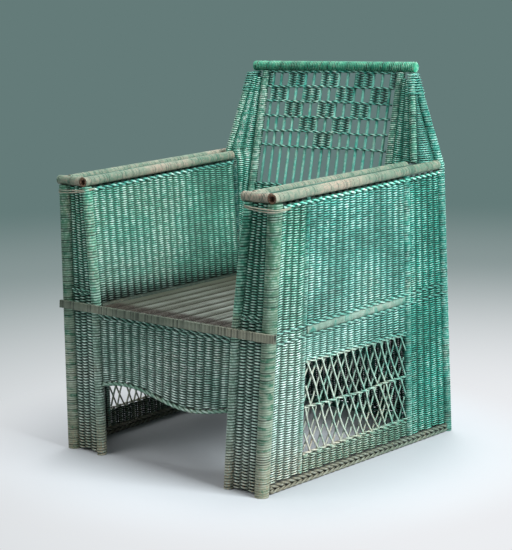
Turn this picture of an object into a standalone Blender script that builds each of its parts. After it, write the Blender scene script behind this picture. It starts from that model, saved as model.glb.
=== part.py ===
"""A square-armed wicker armchair: wrapped poles, woven panels and two lattice windows.

The chair stands on Z = 0, faces -Y and is centred on X. Units are metres. Each pole and each
woven panel is one object. Left-hand pieces are mirror copies of the right-hand ones, apart from the
arm fronts, where the pole on the right of each arm comes through to the front.
"""

from collections import namedtuple
from math import atan2, cos, hypot, pi, sqrt

import bmesh
import bpy
from mathutils import Matrix, Vector

# Stance, measured between the axes of the corner posts
FRONT_WIDTH = 0.624
REAR_WIDTH = 0.702
FLOOR_DEPTH = 0.738
ARM_FRONT_WIDTH = 0.680
ARM_REAR_WIDTH = 0.703
ARM_FRONT_HEIGHT = 0.689
ARM_REAR_HEIGHT = 0.720
ARM_FRONT_SETBACK = 0.018
ARM_REAR_FORWARD = 0.063

# Front columns, from the corner post to the inner post
COLUMN_FLOOR_WIDTH = 0.0995
COLUMN_SEAT_WIDTH = 0.0965
COLUMN_ARM_WIDTH = 0.075

# Seat
SEAT_HEIGHT = 0.377
SEAT_RISE = 0.012
SEAT_BACK_WIDTH = 0.445
SEAT_THICKNESS = 0.010
SEAT_LIFT = 0.003
SEAT_TAIL = 0.013
BAND_HEIGHT = 0.020
BAND_THICKNESS = 0.009
BAND_OVERHANG = 0.007
BAND_SHIFT = 0.012
BAND_EDGE = 0.002
SIDE_BAND_DROP = 0.005
SIDE_BAND_RISE = 0.016

# Back and wings
BACK_FOOT_SETBACK = 0.562
TOP_RAIL_HEIGHT = 0.965
TOP_RAIL_SETBACK = 0.685
TOP_RAIL_LENGTH = 0.535
BACK_TOP_WIDTH = 0.4514
WING_FOOT_SETBACK = 0.6124
WING_FOOT_INSET = 0.0368
WING_POST_DROP = 0.018
WING_POST_SPLAY = 0.007
WING_TOP_DROP = 0.075
GUSSET_RISE = 0.095
INNER_ARM_SPREAD = 0.0577
BACK_WEAVE_HEIGHT = 0.255

# Checkerboard open-work of the back
SPOKE_GAPS = 16
CHECK_ROWS = 5
CHECK_PITCH = 0.0412
SPOKE_WIDTH = 0.0046
TWIST_WIDTH = 0.0046
OPENWORK_THICKNESS = 0.006

# Side windows and posts, set back from the front corner along the floor
SIDE_POST_FRONT_SETBACK = 0.130
SIDE_POST_REAR_SETBACK = 0.565
WINDOW_SILL = 0.069
WINDOW_HEAD = 0.298
LATTICE_PITCH = 0.030
LATTICE_LEAN = 0.47
LATTICE_ROD = 0.0042
LATTICE_FRAME = 0.0045
LATTICE_THICKNESS = 0.005
SMALLEST_GAP_AREA = 0.000025

# Apron under the seat, with the wave of its hand-laid border
APRON_BOTTOM = 0.180
APRON_WAVE = 0.0145
APRON_WAVE_LENGTH = 0.448
APRON_WAVE_CREST = -0.134

# Pole radii
CORNER_RADIUS = 0.0175
INNER_RADIUS = 0.0130
REAR_RADIUS = 0.0125
SIDE_FRONT_RADIUS = 0.0065
SIDE_REAR_RADIUS = 0.0105
WING_RADIUS = 0.0090
BACK_RADIUS = 0.0115
RAIL_RADIUS = 0.0120
TOP_RAIL_RADIUS = 0.0140
SEAT_RAIL_RADIUS = 0.0110
BORDER_RADIUS = 0.0120
APRON_BORDER_RADIUS = 0.0065

# Weave
WEAVE_THICKNESS = 0.0090
VALLEY_SHARE = 0.5
STAKE_PITCH = 0.026
SEAT_STAKE_PITCH = 0.017
BORDER_LIFT = 0.0005
FOOT_LIFT = 0.006
CROSS_OVERHANG = 0.004

CLEARANCE = 0.0004
POLE_SIDES = 16
THIN_POLE_SIDES = 12

# The box of the whole chair is centred on Y = 0
FRONT_Y = -(FLOOR_DEPTH + REAR_RADIUS - CORNER_RADIUS) / 2

Finish = namedtuple("Finish", "name colour roughness")
WRAPPED = Finish("wrapped_pole", (0.09, 0.34, 0.24, 1), 0.55)
WORN = Finish("worn_pole", (0.36, 0.30, 0.25, 1), 0.65)
WOVEN = Finish("woven_reed", (0.10, 0.38, 0.28, 1), 0.60)
SEAT_REED = Finish("seat_reed", (0.22, 0.25, 0.20, 1), 0.70)

SidePost = namedtuple("SidePost", "share radius")


def point(x, y, z):
    """A point of the right half, with y counted from the front corner post at the floor."""
    return Vector((x, FRONT_Y + y, z))


def mix(a, b, share):
    return a + (b - a) * share


def at_height(line, z):
    low, high = line
    return low.lerp(high, (z - low.z) / (high.z - low.z))


def at_depth(line, y):
    near, far = line
    return near.lerp(far, (y - near.y) / (far.y - near.y))


# Axes of the right-hand poles
corner_floor = point(FRONT_WIDTH / 2, 0, 0)
corner_arm = point(ARM_FRONT_WIDTH / 2, ARM_FRONT_SETBACK, ARM_FRONT_HEIGHT)
rear_floor = point(REAR_WIDTH / 2, FLOOR_DEPTH, 0)
rear_arm = point(ARM_REAR_WIDTH / 2, FLOOR_DEPTH - ARM_REAR_FORWARD, ARM_REAR_HEIGHT)
CORNER_LINE = (corner_floor, corner_arm)
REAR_LINE = (rear_floor, rear_arm)
corner_seat = at_height(CORNER_LINE, SEAT_HEIGHT)

inner_floor = corner_floor - Vector((COLUMN_FLOOR_WIDTH, 0, 0))
inner_seat = corner_seat - Vector((COLUMN_SEAT_WIDTH, 0, 0))
inner_arm = corner_arm - Vector((COLUMN_ARM_WIDTH, 0, 0))
INNER_UPPER = (inner_seat, inner_arm)

OUTER_RAIL = (corner_arm, rear_arm)
bearer_front = inner_seat - Vector((0, 0, SEAT_LIFT))
bearer_back = point(SEAT_BACK_WIDTH / 2, BACK_FOOT_SETBACK, bearer_front.z + SEAT_RISE)
BEARER = (bearer_front, bearer_back)
rear_rail = at_height(REAR_LINE, SEAT_HEIGHT + SEAT_RISE)

rail_end = TOP_RAIL_LENGTH / 2
rear_top_x = rail_end - REAR_RADIUS
rear_top = point(rear_top_x, TOP_RAIL_SETBACK, TOP_RAIL_HEIGHT)
back_top = point(BACK_TOP_WIDTH / 2, TOP_RAIL_SETBACK, TOP_RAIL_HEIGHT)
back_foot = bearer_back
BACK_LINE = (back_foot, back_top)
REAR_UPPER = (rear_arm, rear_top)

# The wing's front pole stands on the arm between its rails and leans against the rear post near the top
beside_wing = at_depth(OUTER_RAIL, FRONT_Y + WING_FOOT_SETBACK)
wing_foot = beside_wing - Vector((WING_FOOT_INSET, 0, 0))
post_gap = REAR_RADIUS + WING_RADIUS + CLEARANCE
lean_on = Vector((WING_POST_SPLAY, -sqrt(post_gap ** 2 - WING_POST_SPLAY ** 2), 0))
wing_top = at_height(REAR_UPPER, TOP_RAIL_HEIGHT - WING_POST_DROP) + lean_on
WING_LINE = (wing_foot, wing_top)

# The wing's front face crosses the arm on a line from the back post to the wing's foot
face_inner = at_height(BACK_LINE, wing_foot.z)
face_slope = (wing_foot.y - face_inner.y) / (wing_foot.x - face_inner.x)
inner_rail_x = beside_wing.x - INNER_ARM_SPREAD
face_room = (WEAVE_THICKNESS + CLEARANCE) * hypot(1, face_slope)
inner_rail_y = face_inner.y + (inner_rail_x + RAIL_RADIUS - face_inner.x) * face_slope - face_room
inner_rail_end = Vector((inner_rail_x, inner_rail_y, at_depth(OUTER_RAIL, inner_rail_y).z))
INNER_RAIL = (inner_arm, inner_rail_end)

# The seat's middle surface, which the bearers carry
seat_middle_front = bearer_front.z + SEAT_LIFT
seat_slope = SEAT_RISE / (bearer_back.y - bearer_front.y)

side_length = (rear_floor - corner_floor).length
FRONT_END = SidePost(0, CORNER_RADIUS)
SIDE_FRONT = SidePost(SIDE_POST_FRONT_SETBACK / side_length, SIDE_FRONT_RADIUS)
SIDE_REAR = SidePost(SIDE_POST_REAR_SETBACK / side_length, SIDE_REAR_RADIUS)
REAR_END = SidePost(1, REAR_RADIUS)

panel_foot = 2 * BORDER_RADIUS + BORDER_LIFT + CLEARANCE


def seat_middle(y):
    return seat_middle_front + seat_slope * (y - bearer_front.y)


def arm_rail_bottom(y):
    """Underside of the outer arm rail above a depth y."""
    return at_depth(OUTER_RAIL, y).z - RAIL_RADIUS - CLEARANCE


def side_point(share, z):
    """A point of the outer side, which is ruled between the corner post and the rear post."""
    return at_height(CORNER_LINE, z).lerp(at_height(REAR_LINE, z), share)


def side_row(start, end, height):
    """Points across the side from one post's face to the next, at a height given along it."""

    def row(u):
        z = height(mix(start.share, end.share, u))
        length = (at_height(REAR_LINE, z) - at_height(CORNER_LINE, z)).length
        first = start.share + (start.radius + CLEARANCE) / length
        last = end.share - (end.radius + CLEARANCE) / length
        return side_point(mix(first, last, u), z)

    return row


def straight_row(a, b, inset_a=0.0, inset_b=0.0):
    """Points on the straight line from a to b, starting and ending short of them."""
    along = (b - a).normalized()
    first = a + along * inset_a
    last = b - along * inset_b
    return lambda u: first.lerp(last, u)


def level(z):
    return lambda share: z


def side_band_height(share):
    """Middle height of the seat band where it shows on the outer side."""
    low = SEAT_HEIGHT - SIDE_BAND_DROP
    part = (share - SIDE_FRONT.share) / (SIDE_REAR.share - SIDE_FRONT.share)
    return low + SIDE_BAND_RISE * part


def side_top(share):
    return arm_rail_bottom(side_point(share, ARM_FRONT_HEIGHT).y - CORNER_RADIUS)


def apron_bottom(x):
    return APRON_BOTTOM + APRON_WAVE * cos(2 * pi * (x - APRON_WAVE_CREST) / APRON_WAVE_LENGTH)


def reach(post_radius, post_line, rail_radius, rail_line):
    """How far short of a rail's axis a post ends, so that its cap's edge just clears the rail."""
    post = (post_line[1] - post_line[0]).normalized()
    rail = (rail_line[1] - rail_line[0]).normalized()
    slant = abs(post.dot(rail))
    square = sqrt(1 - slant * slant)
    return (rail_radius + CLEARANCE + post_radius * slant) / square


def trimmed(line, cut_low, cut_high):
    along = (line[1] - line[0]).normalized()
    return line[0] + along * cut_low, line[1] - along * cut_high


def clear_scene():
    for obj in list(bpy.data.objects):
        bpy.data.objects.remove(obj)


def new_collection(name):
    collection = bpy.data.collections.new(name)
    bpy.context.scene.collection.children.link(collection)
    return collection


def material(finish):
    """The finish's material, made the first time that it is asked for."""
    made = bpy.data.materials.get(finish.name)
    if made:
        return made
    made = bpy.data.materials.new(finish.name)
    made.use_nodes = True
    shader = made.node_tree.nodes["Principled BSDF"]
    shader.inputs["Base Color"].default_value = finish.colour
    shader.inputs["Roughness"].default_value = finish.roughness
    shader.inputs["Metallic"].default_value = 0.0
    return made


def add_object(name, data, finish):
    obj = bpy.data.objects.new(name, data)
    obj.data.materials.append(material(finish))
    chair.objects.link(obj)
    return obj


def face_outwards(shape):
    shape.normal_update()
    bmesh.ops.recalc_face_normals(shape, faces=shape.faces)


def mesh_object(name, shape, finish):
    face_outwards(shape)
    mesh = bpy.data.meshes.new(name)
    shape.to_mesh(mesh)
    shape.free()
    return add_object(name, mesh, finish)


def standing_pole(name, centres, radius, side, finish=WRAPPED):
    """A pole whose cross-sections stay level, so that its foot and its top are flat."""
    shape = bmesh.new()
    bmesh.ops.create_circle(shape, cap_ends=True, segments=POLE_SIDES, radius=radius)
    places = [Vector((centre.x * side, centre.y, centre.z)) for centre in centres]
    bmesh.ops.translate(shape, verts=shape.verts, vec=places[0])
    cap = shape.faces[:]
    for step, (low, high) in enumerate(zip(places, places[1:])):
        grown = bmesh.ops.extrude_face_region(shape, geom=cap)
        if step:
            bmesh.ops.delete(shape, geom=cap, context="FACES_ONLY")
        ring = [item for item in grown["geom"] if isinstance(item, bmesh.types.BMVert)]
        cap = [item for item in grown["geom"] if isinstance(item, bmesh.types.BMFace)]
        bmesh.ops.translate(shape, verts=ring, vec=high - low)
    obj = mesh_object(name, shape, finish)
    obj.data.shade_smooth()
    obj.data.set_sharp_from_angle(angle=pi / 4)
    return obj


def tube(name, points, radius, side, finish=WRAPPED, sides=POLE_SIDES):
    """A round pole or braid along a line of points, with flat ends."""
    curve = bpy.data.curves.new(name, "CURVE")
    curve.dimensions = "3D"
    curve.bevel_depth = radius
    curve.bevel_resolution = sides // 2 - 2
    curve.use_fill_caps = True
    spline = curve.splines.new("POLY")
    spline.points.add(len(points) - 1)
    for place, target in zip(points, spline.points):
        target.co = (place.x * side, place.y, place.z, 1)
    return add_object(name, curve, finish)


def flat_bar(name, a, b, height, thickness, side, finish=WRAPPED):
    """A flat wrapped bar from a to b, on edge, with eased edges."""
    along = b - a
    out = along.cross(Vector((0, 0, 1))).normalized()
    shape = bmesh.new()
    bmesh.ops.create_cube(shape, size=1)
    for vert in shape.verts:
        spot = a + along * (vert.co.x + 0.5) + out * (vert.co.y * thickness)
        vert.co = Vector((spot.x * side, spot.y, spot.z + vert.co.z * height))
    face_outwards(shape)
    bmesh.ops.bevel(shape, geom=shape.edges[:], offset=BAND_EDGE, segments=2, profile=0.5,
                    affect="EDGES")
    return mesh_object(name, shape, finish)


def woven_panel(name, rows, width, side, finish=WOVEN, pitch=STAKE_PITCH, thickness=WEAVE_THICKNESS):
    """A woven wall laid through rows of points: thick at each stake and thinner between stakes."""
    columns = 2 * max(1, round(width / pitch))
    shape = bmesh.new()
    bmesh.ops.create_grid(shape, x_segments=columns, y_segments=len(rows) - 1, size=0.5)
    in_valley = []
    shape.verts.ensure_lookup_table()
    for vert in shape.verts:
        column = round((vert.co.x + 0.5) * columns)
        row = round((vert.co.y + 0.5) * (len(rows) - 1))
        in_valley.append(column % 2 == 0)
        spot = rows[row](column / columns)
        vert.co = Vector((spot.x * side, spot.y, spot.z))
    mesh = bpy.data.meshes.new(name)
    shape.to_mesh(mesh)
    shape.free()
    obj = add_object(name, mesh, finish)
    stakes = obj.vertex_groups.new(name="stakes")
    stakes.add([index for index, valley in enumerate(in_valley) if not valley], 1.0, "REPLACE")
    solid = obj.modifiers.new("weave", "SOLIDIFY")
    solid.thickness = thickness
    solid.offset = 0
    solid.vertex_group = stakes.name
    solid.thickness_vertex_group = VALLEY_SHARE
    return obj


def flat_net(name, outline, gaps, thickness, finish=WOVEN):
    """A flat sheet with an outline and open gaps, made a mesh so that it can be laid in place."""
    curve = bpy.data.curves.new(name, "CURVE")
    curve.dimensions = "2D"
    curve.fill_mode = "BOTH"
    curve.extrude = thickness / 2
    for loop in [outline, *gaps]:
        spline = curve.splines.new("POLY")
        spline.points.add(len(loop) - 1)
        spline.use_cyclic_u = True
        for (x, y), target in zip(loop, spline.points):
            target.co = (x, y, 0, 1)
    drawn = bpy.data.objects.new(name, curve)
    bpy.context.scene.collection.objects.link(drawn)
    graph = bpy.context.evaluated_depsgraph_get()
    mesh = bpy.data.meshes.new_from_object(drawn.evaluated_get(graph))
    bpy.data.objects.remove(drawn)
    bpy.data.curves.remove(curve)
    mesh.name = name
    shape = bmesh.new()
    shape.from_mesh(mesh)
    bmesh.ops.remove_doubles(shape, verts=shape.verts, dist=1e-6)
    shape.to_mesh(mesh)
    shape.free()
    mesh.materials.clear()
    return add_object(name, mesh, finish)


def clipped(polygon, low, high):
    """The part of a convex polygon inside the box from low to high."""
    for axis in (0, 1):
        for limit, sign in ((low[axis], 1), (high[axis], -1)):
            kept = []
            for start, end in zip(polygon, polygon[1:] + polygon[:1]):
                before = (start[axis] - limit) * sign
                after = (end[axis] - limit) * sign
                if before >= 0:
                    kept.append(start)
                if before * after < 0:
                    share = before / (before - after)
                    kept.append(tuple(mix(s, e, share) for s, e in zip(start, end)))
            polygon = kept
    return polygon


def area(polygon):
    pairs = zip(polygon, polygon[1:] + polygon[:1])
    return abs(sum(a[0] * b[1] - b[0] * a[1] for a, b in pairs)) / 2


def diamond_gaps(width, low, high):
    """Gaps between two families of leaning rods that cross in a band of the window."""
    rods = max(1, round(width / LATTICE_PITCH))
    pitch = width / rods
    reach_over = int((high - low) * LATTICE_LEAN / pitch) + 2
    edge = LATTICE_ROD / 2 * hypot(1, LATTICE_LEAN)
    inner_low = (LATTICE_FRAME, low + LATTICE_FRAME / 2)
    inner_high = (width - LATTICE_FRAME, high - LATTICE_FRAME / 2)
    gaps = []
    for i in range(-reach_over, rods + reach_over):
        for j in range(-reach_over, rods + reach_over):
            corners = []
            for c, d in ((i, j), (i + 1, j), (i + 1, j + 1), (i, j + 1)):
                forward = c * pitch + (edge if c == i else -edge)
                backward = d * pitch + (edge if d == j else -edge)
                across = (forward + backward) / 2
                corners.append((across, low + (backward - forward) / (2 * LATTICE_LEAN)))
            gap = clipped(corners, inner_low, inner_high)
            if len(gap) > 2 and area(gap) > SMALLEST_GAP_AREA:
                gaps.append(gap)
    return gaps


def build_posts(side, tag):
    """The poles that stand on the floor, the poles of the back and the wing's front pole."""
    under_cross = ARM_FRONT_HEIGHT - RAIL_RADIUS - CLEARANCE
    corner_top = at_height(CORNER_LINE, under_cross)
    standing_pole(f"front_corner_post_{tag}", [corner_floor, corner_top], CORNER_RADIUS, side)
    inner_top = at_height(INNER_UPPER, under_cross)
    standing_pole(f"front_inner_post_{tag}", [inner_floor, inner_seat, inner_top], INNER_RADIUS, side)
    for name, post in (("side_post_front", SIDE_FRONT), ("side_post_rear", SIDE_REAR)):
        foot = side_point(post.share, panel_foot)
        top_y = side_point(post.share, ARM_FRONT_HEIGHT).y - post.radius
        top = side_point(post.share, arm_rail_bottom(top_y))
        standing_pole(f"{name}_{tag}", [foot, top], post.radius, side)
    top_rail = (Vector((-rail_end, 0, 0)), Vector((rail_end, 0, 0)))
    slope = (rear_top - rear_arm) / (rear_top.z - rear_arm.z)
    rear_end = rear_top - slope * (TOP_RAIL_RADIUS + 2 * CLEARANCE)
    standing_pole(f"rear_post_{tag}", [rear_floor, rear_arm, rear_end], REAR_RADIUS, side)
    rise = (wing_top - wing_foot).normalized().z
    wing_low = (WEAVE_THICKNESS / 2 + CLEARANCE + WING_RADIUS * sqrt(1 - rise * rise)) / rise
    tube(f"wing_post_{tag}", trimmed(WING_LINE, wing_low, 0), WING_RADIUS, side, sides=THIN_POLE_SIDES)
    back_low = reach(BACK_RADIUS, BACK_LINE, SEAT_RAIL_RADIUS, BEARER)
    back_high = reach(BACK_RADIUS, BACK_LINE, TOP_RAIL_RADIUS, top_rail)
    tube(f"back_post_{tag}", trimmed(BACK_LINE, back_low, back_high), BACK_RADIUS, side)


def build_rails(side, tag):
    """The arm's poles and the seat rails of one side."""
    swing = (inner_rail_end - inner_arm).normalized()
    cap_room = RAIL_RADIUS * sqrt(1 - swing.y * swing.y)
    behind_cross = RAIL_RADIUS + cap_room + CLEARANCE
    rear_gap = REAR_RADIUS + CLEARANCE
    outer_front = corner_arm.y + behind_cross
    inner_front = inner_arm.y + behind_cross
    cross_in = inner_arm - Vector((INNER_RADIUS + CROSS_OVERHANG, 0, 0))
    cross_out = corner_arm + Vector((CORNER_RADIUS + CROSS_OVERHANG, 0, 0))
    if side > 0:
        outer_front = corner_arm.y - RAIL_RADIUS
        cross_out.x = at_depth(OUTER_RAIL, outer_front).x - behind_cross
    else:
        inner_front = inner_arm.y - RAIL_RADIUS
        cross_in.x = at_depth(INNER_RAIL, corner_arm.y + RAIL_RADIUS).x + behind_cross
    outer = (at_depth(OUTER_RAIL, outer_front), at_depth(OUTER_RAIL, rear_arm.y - rear_gap))
    outer[0].z = max(outer[0].z, ARM_FRONT_HEIGHT)
    tube(f"arm_rail_outer_{tag}", outer, RAIL_RADIUS, side, WORN)
    inner = (at_depth(INNER_RAIL, inner_front), inner_rail_end)
    inner[0].z = max(inner[0].z, ARM_FRONT_HEIGHT)
    tube(f"arm_rail_inner_{tag}", inner, RAIL_RADIUS, side, WORN)
    tube(f"arm_front_rail_{tag}", (cross_in, cross_out), RAIL_RADIUS, side, WORN)
    band = side_row(SIDE_FRONT, SIDE_REAR, side_band_height)
    band_ends = trimmed((band(0), band(1)), CLEARANCE, CLEARANCE)
    flat_bar(f"seat_rail_side_{tag}", *band_ends, BAND_HEIGHT, BAND_THICKNESS, side)
    start = at_depth(BEARER, bearer_front.y + INNER_RADIUS + CLEARANCE)
    end = at_depth(BEARER, rear_rail.y - SEAT_RAIL_RADIUS - CLEARANCE)
    end.z = rear_rail.z
    tube(f"seat_bearer_{tag}", (start, bearer_back, end), SEAT_RAIL_RADIUS, side, sides=THIN_POLE_SIDES)


def build_side(side, tag):
    """The outer side: two stiles, the solid upper wall and the lattice window with its strips."""
    stile_front = SIDE_POST_FRONT_SETBACK - CORNER_RADIUS - SIDE_FRONT_RADIUS
    bay = SIDE_POST_REAR_SETBACK - SIDE_POST_FRONT_SETBACK
    stile_rear = side_length - SIDE_POST_REAR_SETBACK - SIDE_REAR_RADIUS - REAR_RADIUS
    half_band = BAND_HEIGHT / 2 + CLEARANCE

    def wall(name, start, end, low, high, width):
        rows = [side_row(start, end, low), side_row(start, end, high)]
        woven_panel(f"{name}_{tag}", rows, width, side)

    wall("side_stile_front", FRONT_END, SIDE_FRONT, level(panel_foot), side_top, stile_front)
    wall("side_stile_rear", SIDE_REAR, REAR_END, level(panel_foot), side_top, stile_rear)
    wall("side_upper", SIDE_FRONT, SIDE_REAR, lambda s: side_band_height(s) + half_band, side_top, bay)
    wall("window_head", SIDE_FRONT, SIDE_REAR, level(WINDOW_HEAD + CLEARANCE),
         lambda s: side_band_height(s) - half_band, bay)
    wall("window_sill", SIDE_FRONT, SIDE_REAR, level(panel_foot), level(WINDOW_SILL - CLEARANCE), bay)
    border = side_row(FRONT_END, REAR_END, level(BORDER_LIFT + BORDER_RADIUS))
    post_lean = BORDER_RADIUS * ARM_REAR_FORWARD / ARM_REAR_HEIGHT
    ends = trimmed((border(0), border(1)), 0, post_lean)
    tube(f"side_border_{tag}", ends, BORDER_RADIUS, side, WOVEN, THIN_POLE_SIDES)
    build_lattice(side, tag)


def build_lattice(side, tag):
    """Two bands of crossing rods, drawn flat and then laid on the side between its posts."""
    sill = side_row(SIDE_FRONT, SIDE_REAR, level(WINDOW_SILL))
    head = side_row(SIDE_FRONT, SIDE_REAR, level(WINDOW_HEAD))
    width = (sill(1) - sill(0)).length
    height = WINDOW_HEAD - WINDOW_SILL
    outline = [(0, 0), (width, 0), (width, height), (0, height)]
    gaps = diamond_gaps(width, LATTICE_FRAME / 2, height / 2)
    gaps += diamond_gaps(width, height / 2, height - LATTICE_FRAME / 2)
    net = flat_net(f"lattice_{tag}", outline, gaps, LATTICE_THICKNESS)
    out = (sill(1) - sill(0)).cross(head(0) - sill(0)).normalized()
    for vert in net.data.vertices:
        across, up, depth = vert.co
        spot = sill(across / width).lerp(head(across / width), up / height) + out * depth
        vert.co = Vector((spot.x * side, spot.y, spot.z))
    if side < 0:
        net.data.flip_normals()


def build_arm(side, tag):
    """The front column, the inner arm wall and the woven top between the arm rails."""
    foot = straight_row(inner_floor + Vector((0, 0, FOOT_LIFT)), corner_floor + Vector((0, 0, FOOT_LIFT)),
                        INNER_RADIUS + CLEARANCE, CORNER_RADIUS + CLEARANCE)
    waist = straight_row(inner_seat, corner_seat, INNER_RADIUS + CLEARANCE, CORNER_RADIUS + CLEARANCE)
    under_cross = ARM_FRONT_HEIGHT - RAIL_RADIUS - 2 * CLEARANCE
    head = straight_row(at_height(INNER_UPPER, under_cross), at_height(CORNER_LINE, under_cross),
                        INNER_RADIUS + CLEARANCE, CORNER_RADIUS + CLEARANCE)
    woven_panel(f"column_weave_{tag}", [foot, waist, head], COLUMN_SEAT_WIDTH, side)

    on_bearer = Vector((0, 0, SEAT_RAIL_RADIUS + CLEARANCE))
    low_front = bearer_front + on_bearer + Vector((0, INNER_RADIUS + CLEARANCE, 0))
    low_rear = at_depth(BEARER, back_foot.y - BACK_RADIUS - 2 * CLEARANCE) + on_bearer
    under_rail = Vector((0, 0, RAIL_RADIUS + 2 * CLEARANCE))
    high_front = at_depth(INNER_RAIL, inner_arm.y + INNER_RADIUS + 2 * CLEARANCE) - under_rail
    high_rear = inner_rail_end - under_rail
    rows = [straight_row(low_front, low_rear), straight_row(high_front, high_rear)]
    woven_panel(f"inner_arm_{tag}", rows, (low_rear - low_front).length, side)
    build_wing(side, tag, (low_rear, high_rear))

    beside = RAIL_RADIUS + CLEARANCE
    first_y = corner_arm.y + RAIL_RADIUS + CLEARANCE
    last_y = wing_foot.y + WING_RADIUS
    ends = []
    for y in (first_y, last_y):
        ends.append(straight_row(at_depth(INNER_RAIL, y), at_depth(OUTER_RAIL, y), beside, beside))
    woven_panel(f"arm_top_{tag}", ends, COLUMN_ARM_WIDTH - 2 * RAIL_RADIUS, side)


def build_wing(side, tag, arm_edge):
    """The wing's front face, from the seat past the arm to the top, and its outer face."""
    edge_gap = WEAVE_THICKNESS + CLEARANCE
    back_gap = BACK_RADIUS + 2 * CLEARANCE
    above_rail = RAIL_RADIUS + 4 * CLEARANCE
    wing_gap = WING_RADIUS * hypot(1, face_slope) + 2 * CLEARANCE
    gusset_foot = back_foot.z + GUSSET_RISE
    under_arm = arm_edge[1].z
    over_arm = wing_foot.z + above_rail
    wing_head = TOP_RAIL_HEIGHT - WING_TOP_DROP
    front = []
    for z, arm_gap in ((gusset_foot, edge_gap), (under_arm, 2 * edge_gap)):
        front.append(straight_row(at_height(BACK_LINE, z), at_height(arm_edge, z), back_gap, arm_gap))
    for z in (over_arm, wing_head):
        front.append(straight_row(at_height(BACK_LINE, z), at_height(WING_LINE, z), back_gap, wing_gap))
    woven_panel(f"wing_front_{tag}", front, (wing_foot - face_inner).length, side)
    outer = []
    low_rear = at_height(REAR_UPPER, rear_arm.z + above_rail)
    rear_gap = REAR_RADIUS + 2 * CLEARANCE
    outer.append(straight_row(at_height(WING_LINE, over_arm), low_rear, wing_gap, rear_gap))
    outer.append(straight_row(at_height(WING_LINE, wing_head), at_height(REAR_UPPER, wing_head),
                              wing_gap, rear_gap))
    woven_panel(f"wing_side_{tag}", outer, (low_rear - wing_foot).length, side)


def build_front():
    """The flat seat band across the front and the apron that hangs under the seat."""
    band_y = corner_seat.y - CORNER_RADIUS - CLEARANCE - BAND_THICKNESS / 2
    band_half = corner_seat.x + CORNER_RADIUS + BAND_OVERHANG
    left = Vector((BAND_SHIFT - band_half, band_y, SEAT_HEIGHT))
    right = Vector((BAND_SHIFT + band_half, band_y, SEAT_HEIGHT))
    flat_bar("seat_rail_front", left, right, BAND_HEIGHT, BAND_THICKNESS, 1)
    apron_head = seat_middle(corner_seat.y) - SEAT_THICKNESS / 2 - CLEARANCE
    lower_post = (inner_floor, inner_seat)

    def apron_row(height):
        def row(u):
            z = height(mix(-inner_seat.x, inner_seat.x, u))
            edge = at_height(lower_post, z) - Vector((INNER_RADIUS + CLEARANCE, 0, 0))
            return Vector((mix(-edge.x, edge.x, u), edge.y, z))

        return row

    above_border = APRON_BORDER_RADIUS + CLEARANCE
    rows = [apron_row(lambda x: apron_bottom(x) + above_border), apron_row(level(apron_head))]
    width = 2 * (inner_seat.x - INNER_RADIUS)
    woven_panel("apron", rows, width, 1)
    stations = round(width / STAKE_PITCH)
    border = apron_row(apron_bottom)
    steepest = 2 * pi * APRON_WAVE / APRON_WAVE_LENGTH
    end_share = APRON_BORDER_RADIUS * steepest / width
    shares = [mix(end_share, 1 - end_share, i / stations) for i in range(stations + 1)]
    tube("apron_border", [border(share) for share in shares], APRON_BORDER_RADIUS, 1, WOVEN,
         THIN_POLE_SIDES)


def build_seat():
    """The woven seat between the front band, the bearers and the foot of the back."""
    front_y = corner_seat.y - CORNER_RADIUS
    front_half = inner_seat.x - INNER_RADIUS - CLEARANCE
    rear_y = back_foot.y + SEAT_TAIL
    rear_half = back_foot.x - max(BACK_RADIUS, SEAT_RAIL_RADIUS) - CLEARANCE
    rows = []
    for y, half in ((front_y, front_half), (rear_y, rear_half)):
        z = seat_middle(y)
        rows.append(straight_row(Vector((-half, y, z)), Vector((half, y, z))))
    woven_panel("seat", rows, 2 * front_half, 1, SEAT_REED, SEAT_STAKE_PITCH, SEAT_THICKNESS)


def build_back():
    """The top rail, the solid lower back and the checkerboard open-work above it."""
    rail_tip = Vector((rail_end, rear_top.y, rear_top.z))
    tube("top_rail", (Vector((-rail_end, rail_tip.y, rail_tip.z)), rail_tip), TOP_RAIL_RADIUS, 1)
    low = seat_middle(back_foot.y) + SEAT_THICKNESS / 2 + CLEARANCE
    low += WEAVE_THICKNESS / 2 * (back_top.y - back_foot.y) / (back_top.z - back_foot.z)
    high = back_foot.z + BACK_WEAVE_HEIGHT
    rows = []
    for z in (low, high - CLEARANCE):
        edge = at_height(BACK_LINE, z) - Vector((BACK_RADIUS + CLEARANCE, 0, 0))
        rows.append(straight_row(Vector((-edge.x, edge.y, z)), edge))
    woven_panel("back_weave", rows, 2 * back_foot.x, 1, pitch=2 * back_foot.x / SPOKE_GAPS)
    build_openwork(at_height(BACK_LINE, high))


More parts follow.
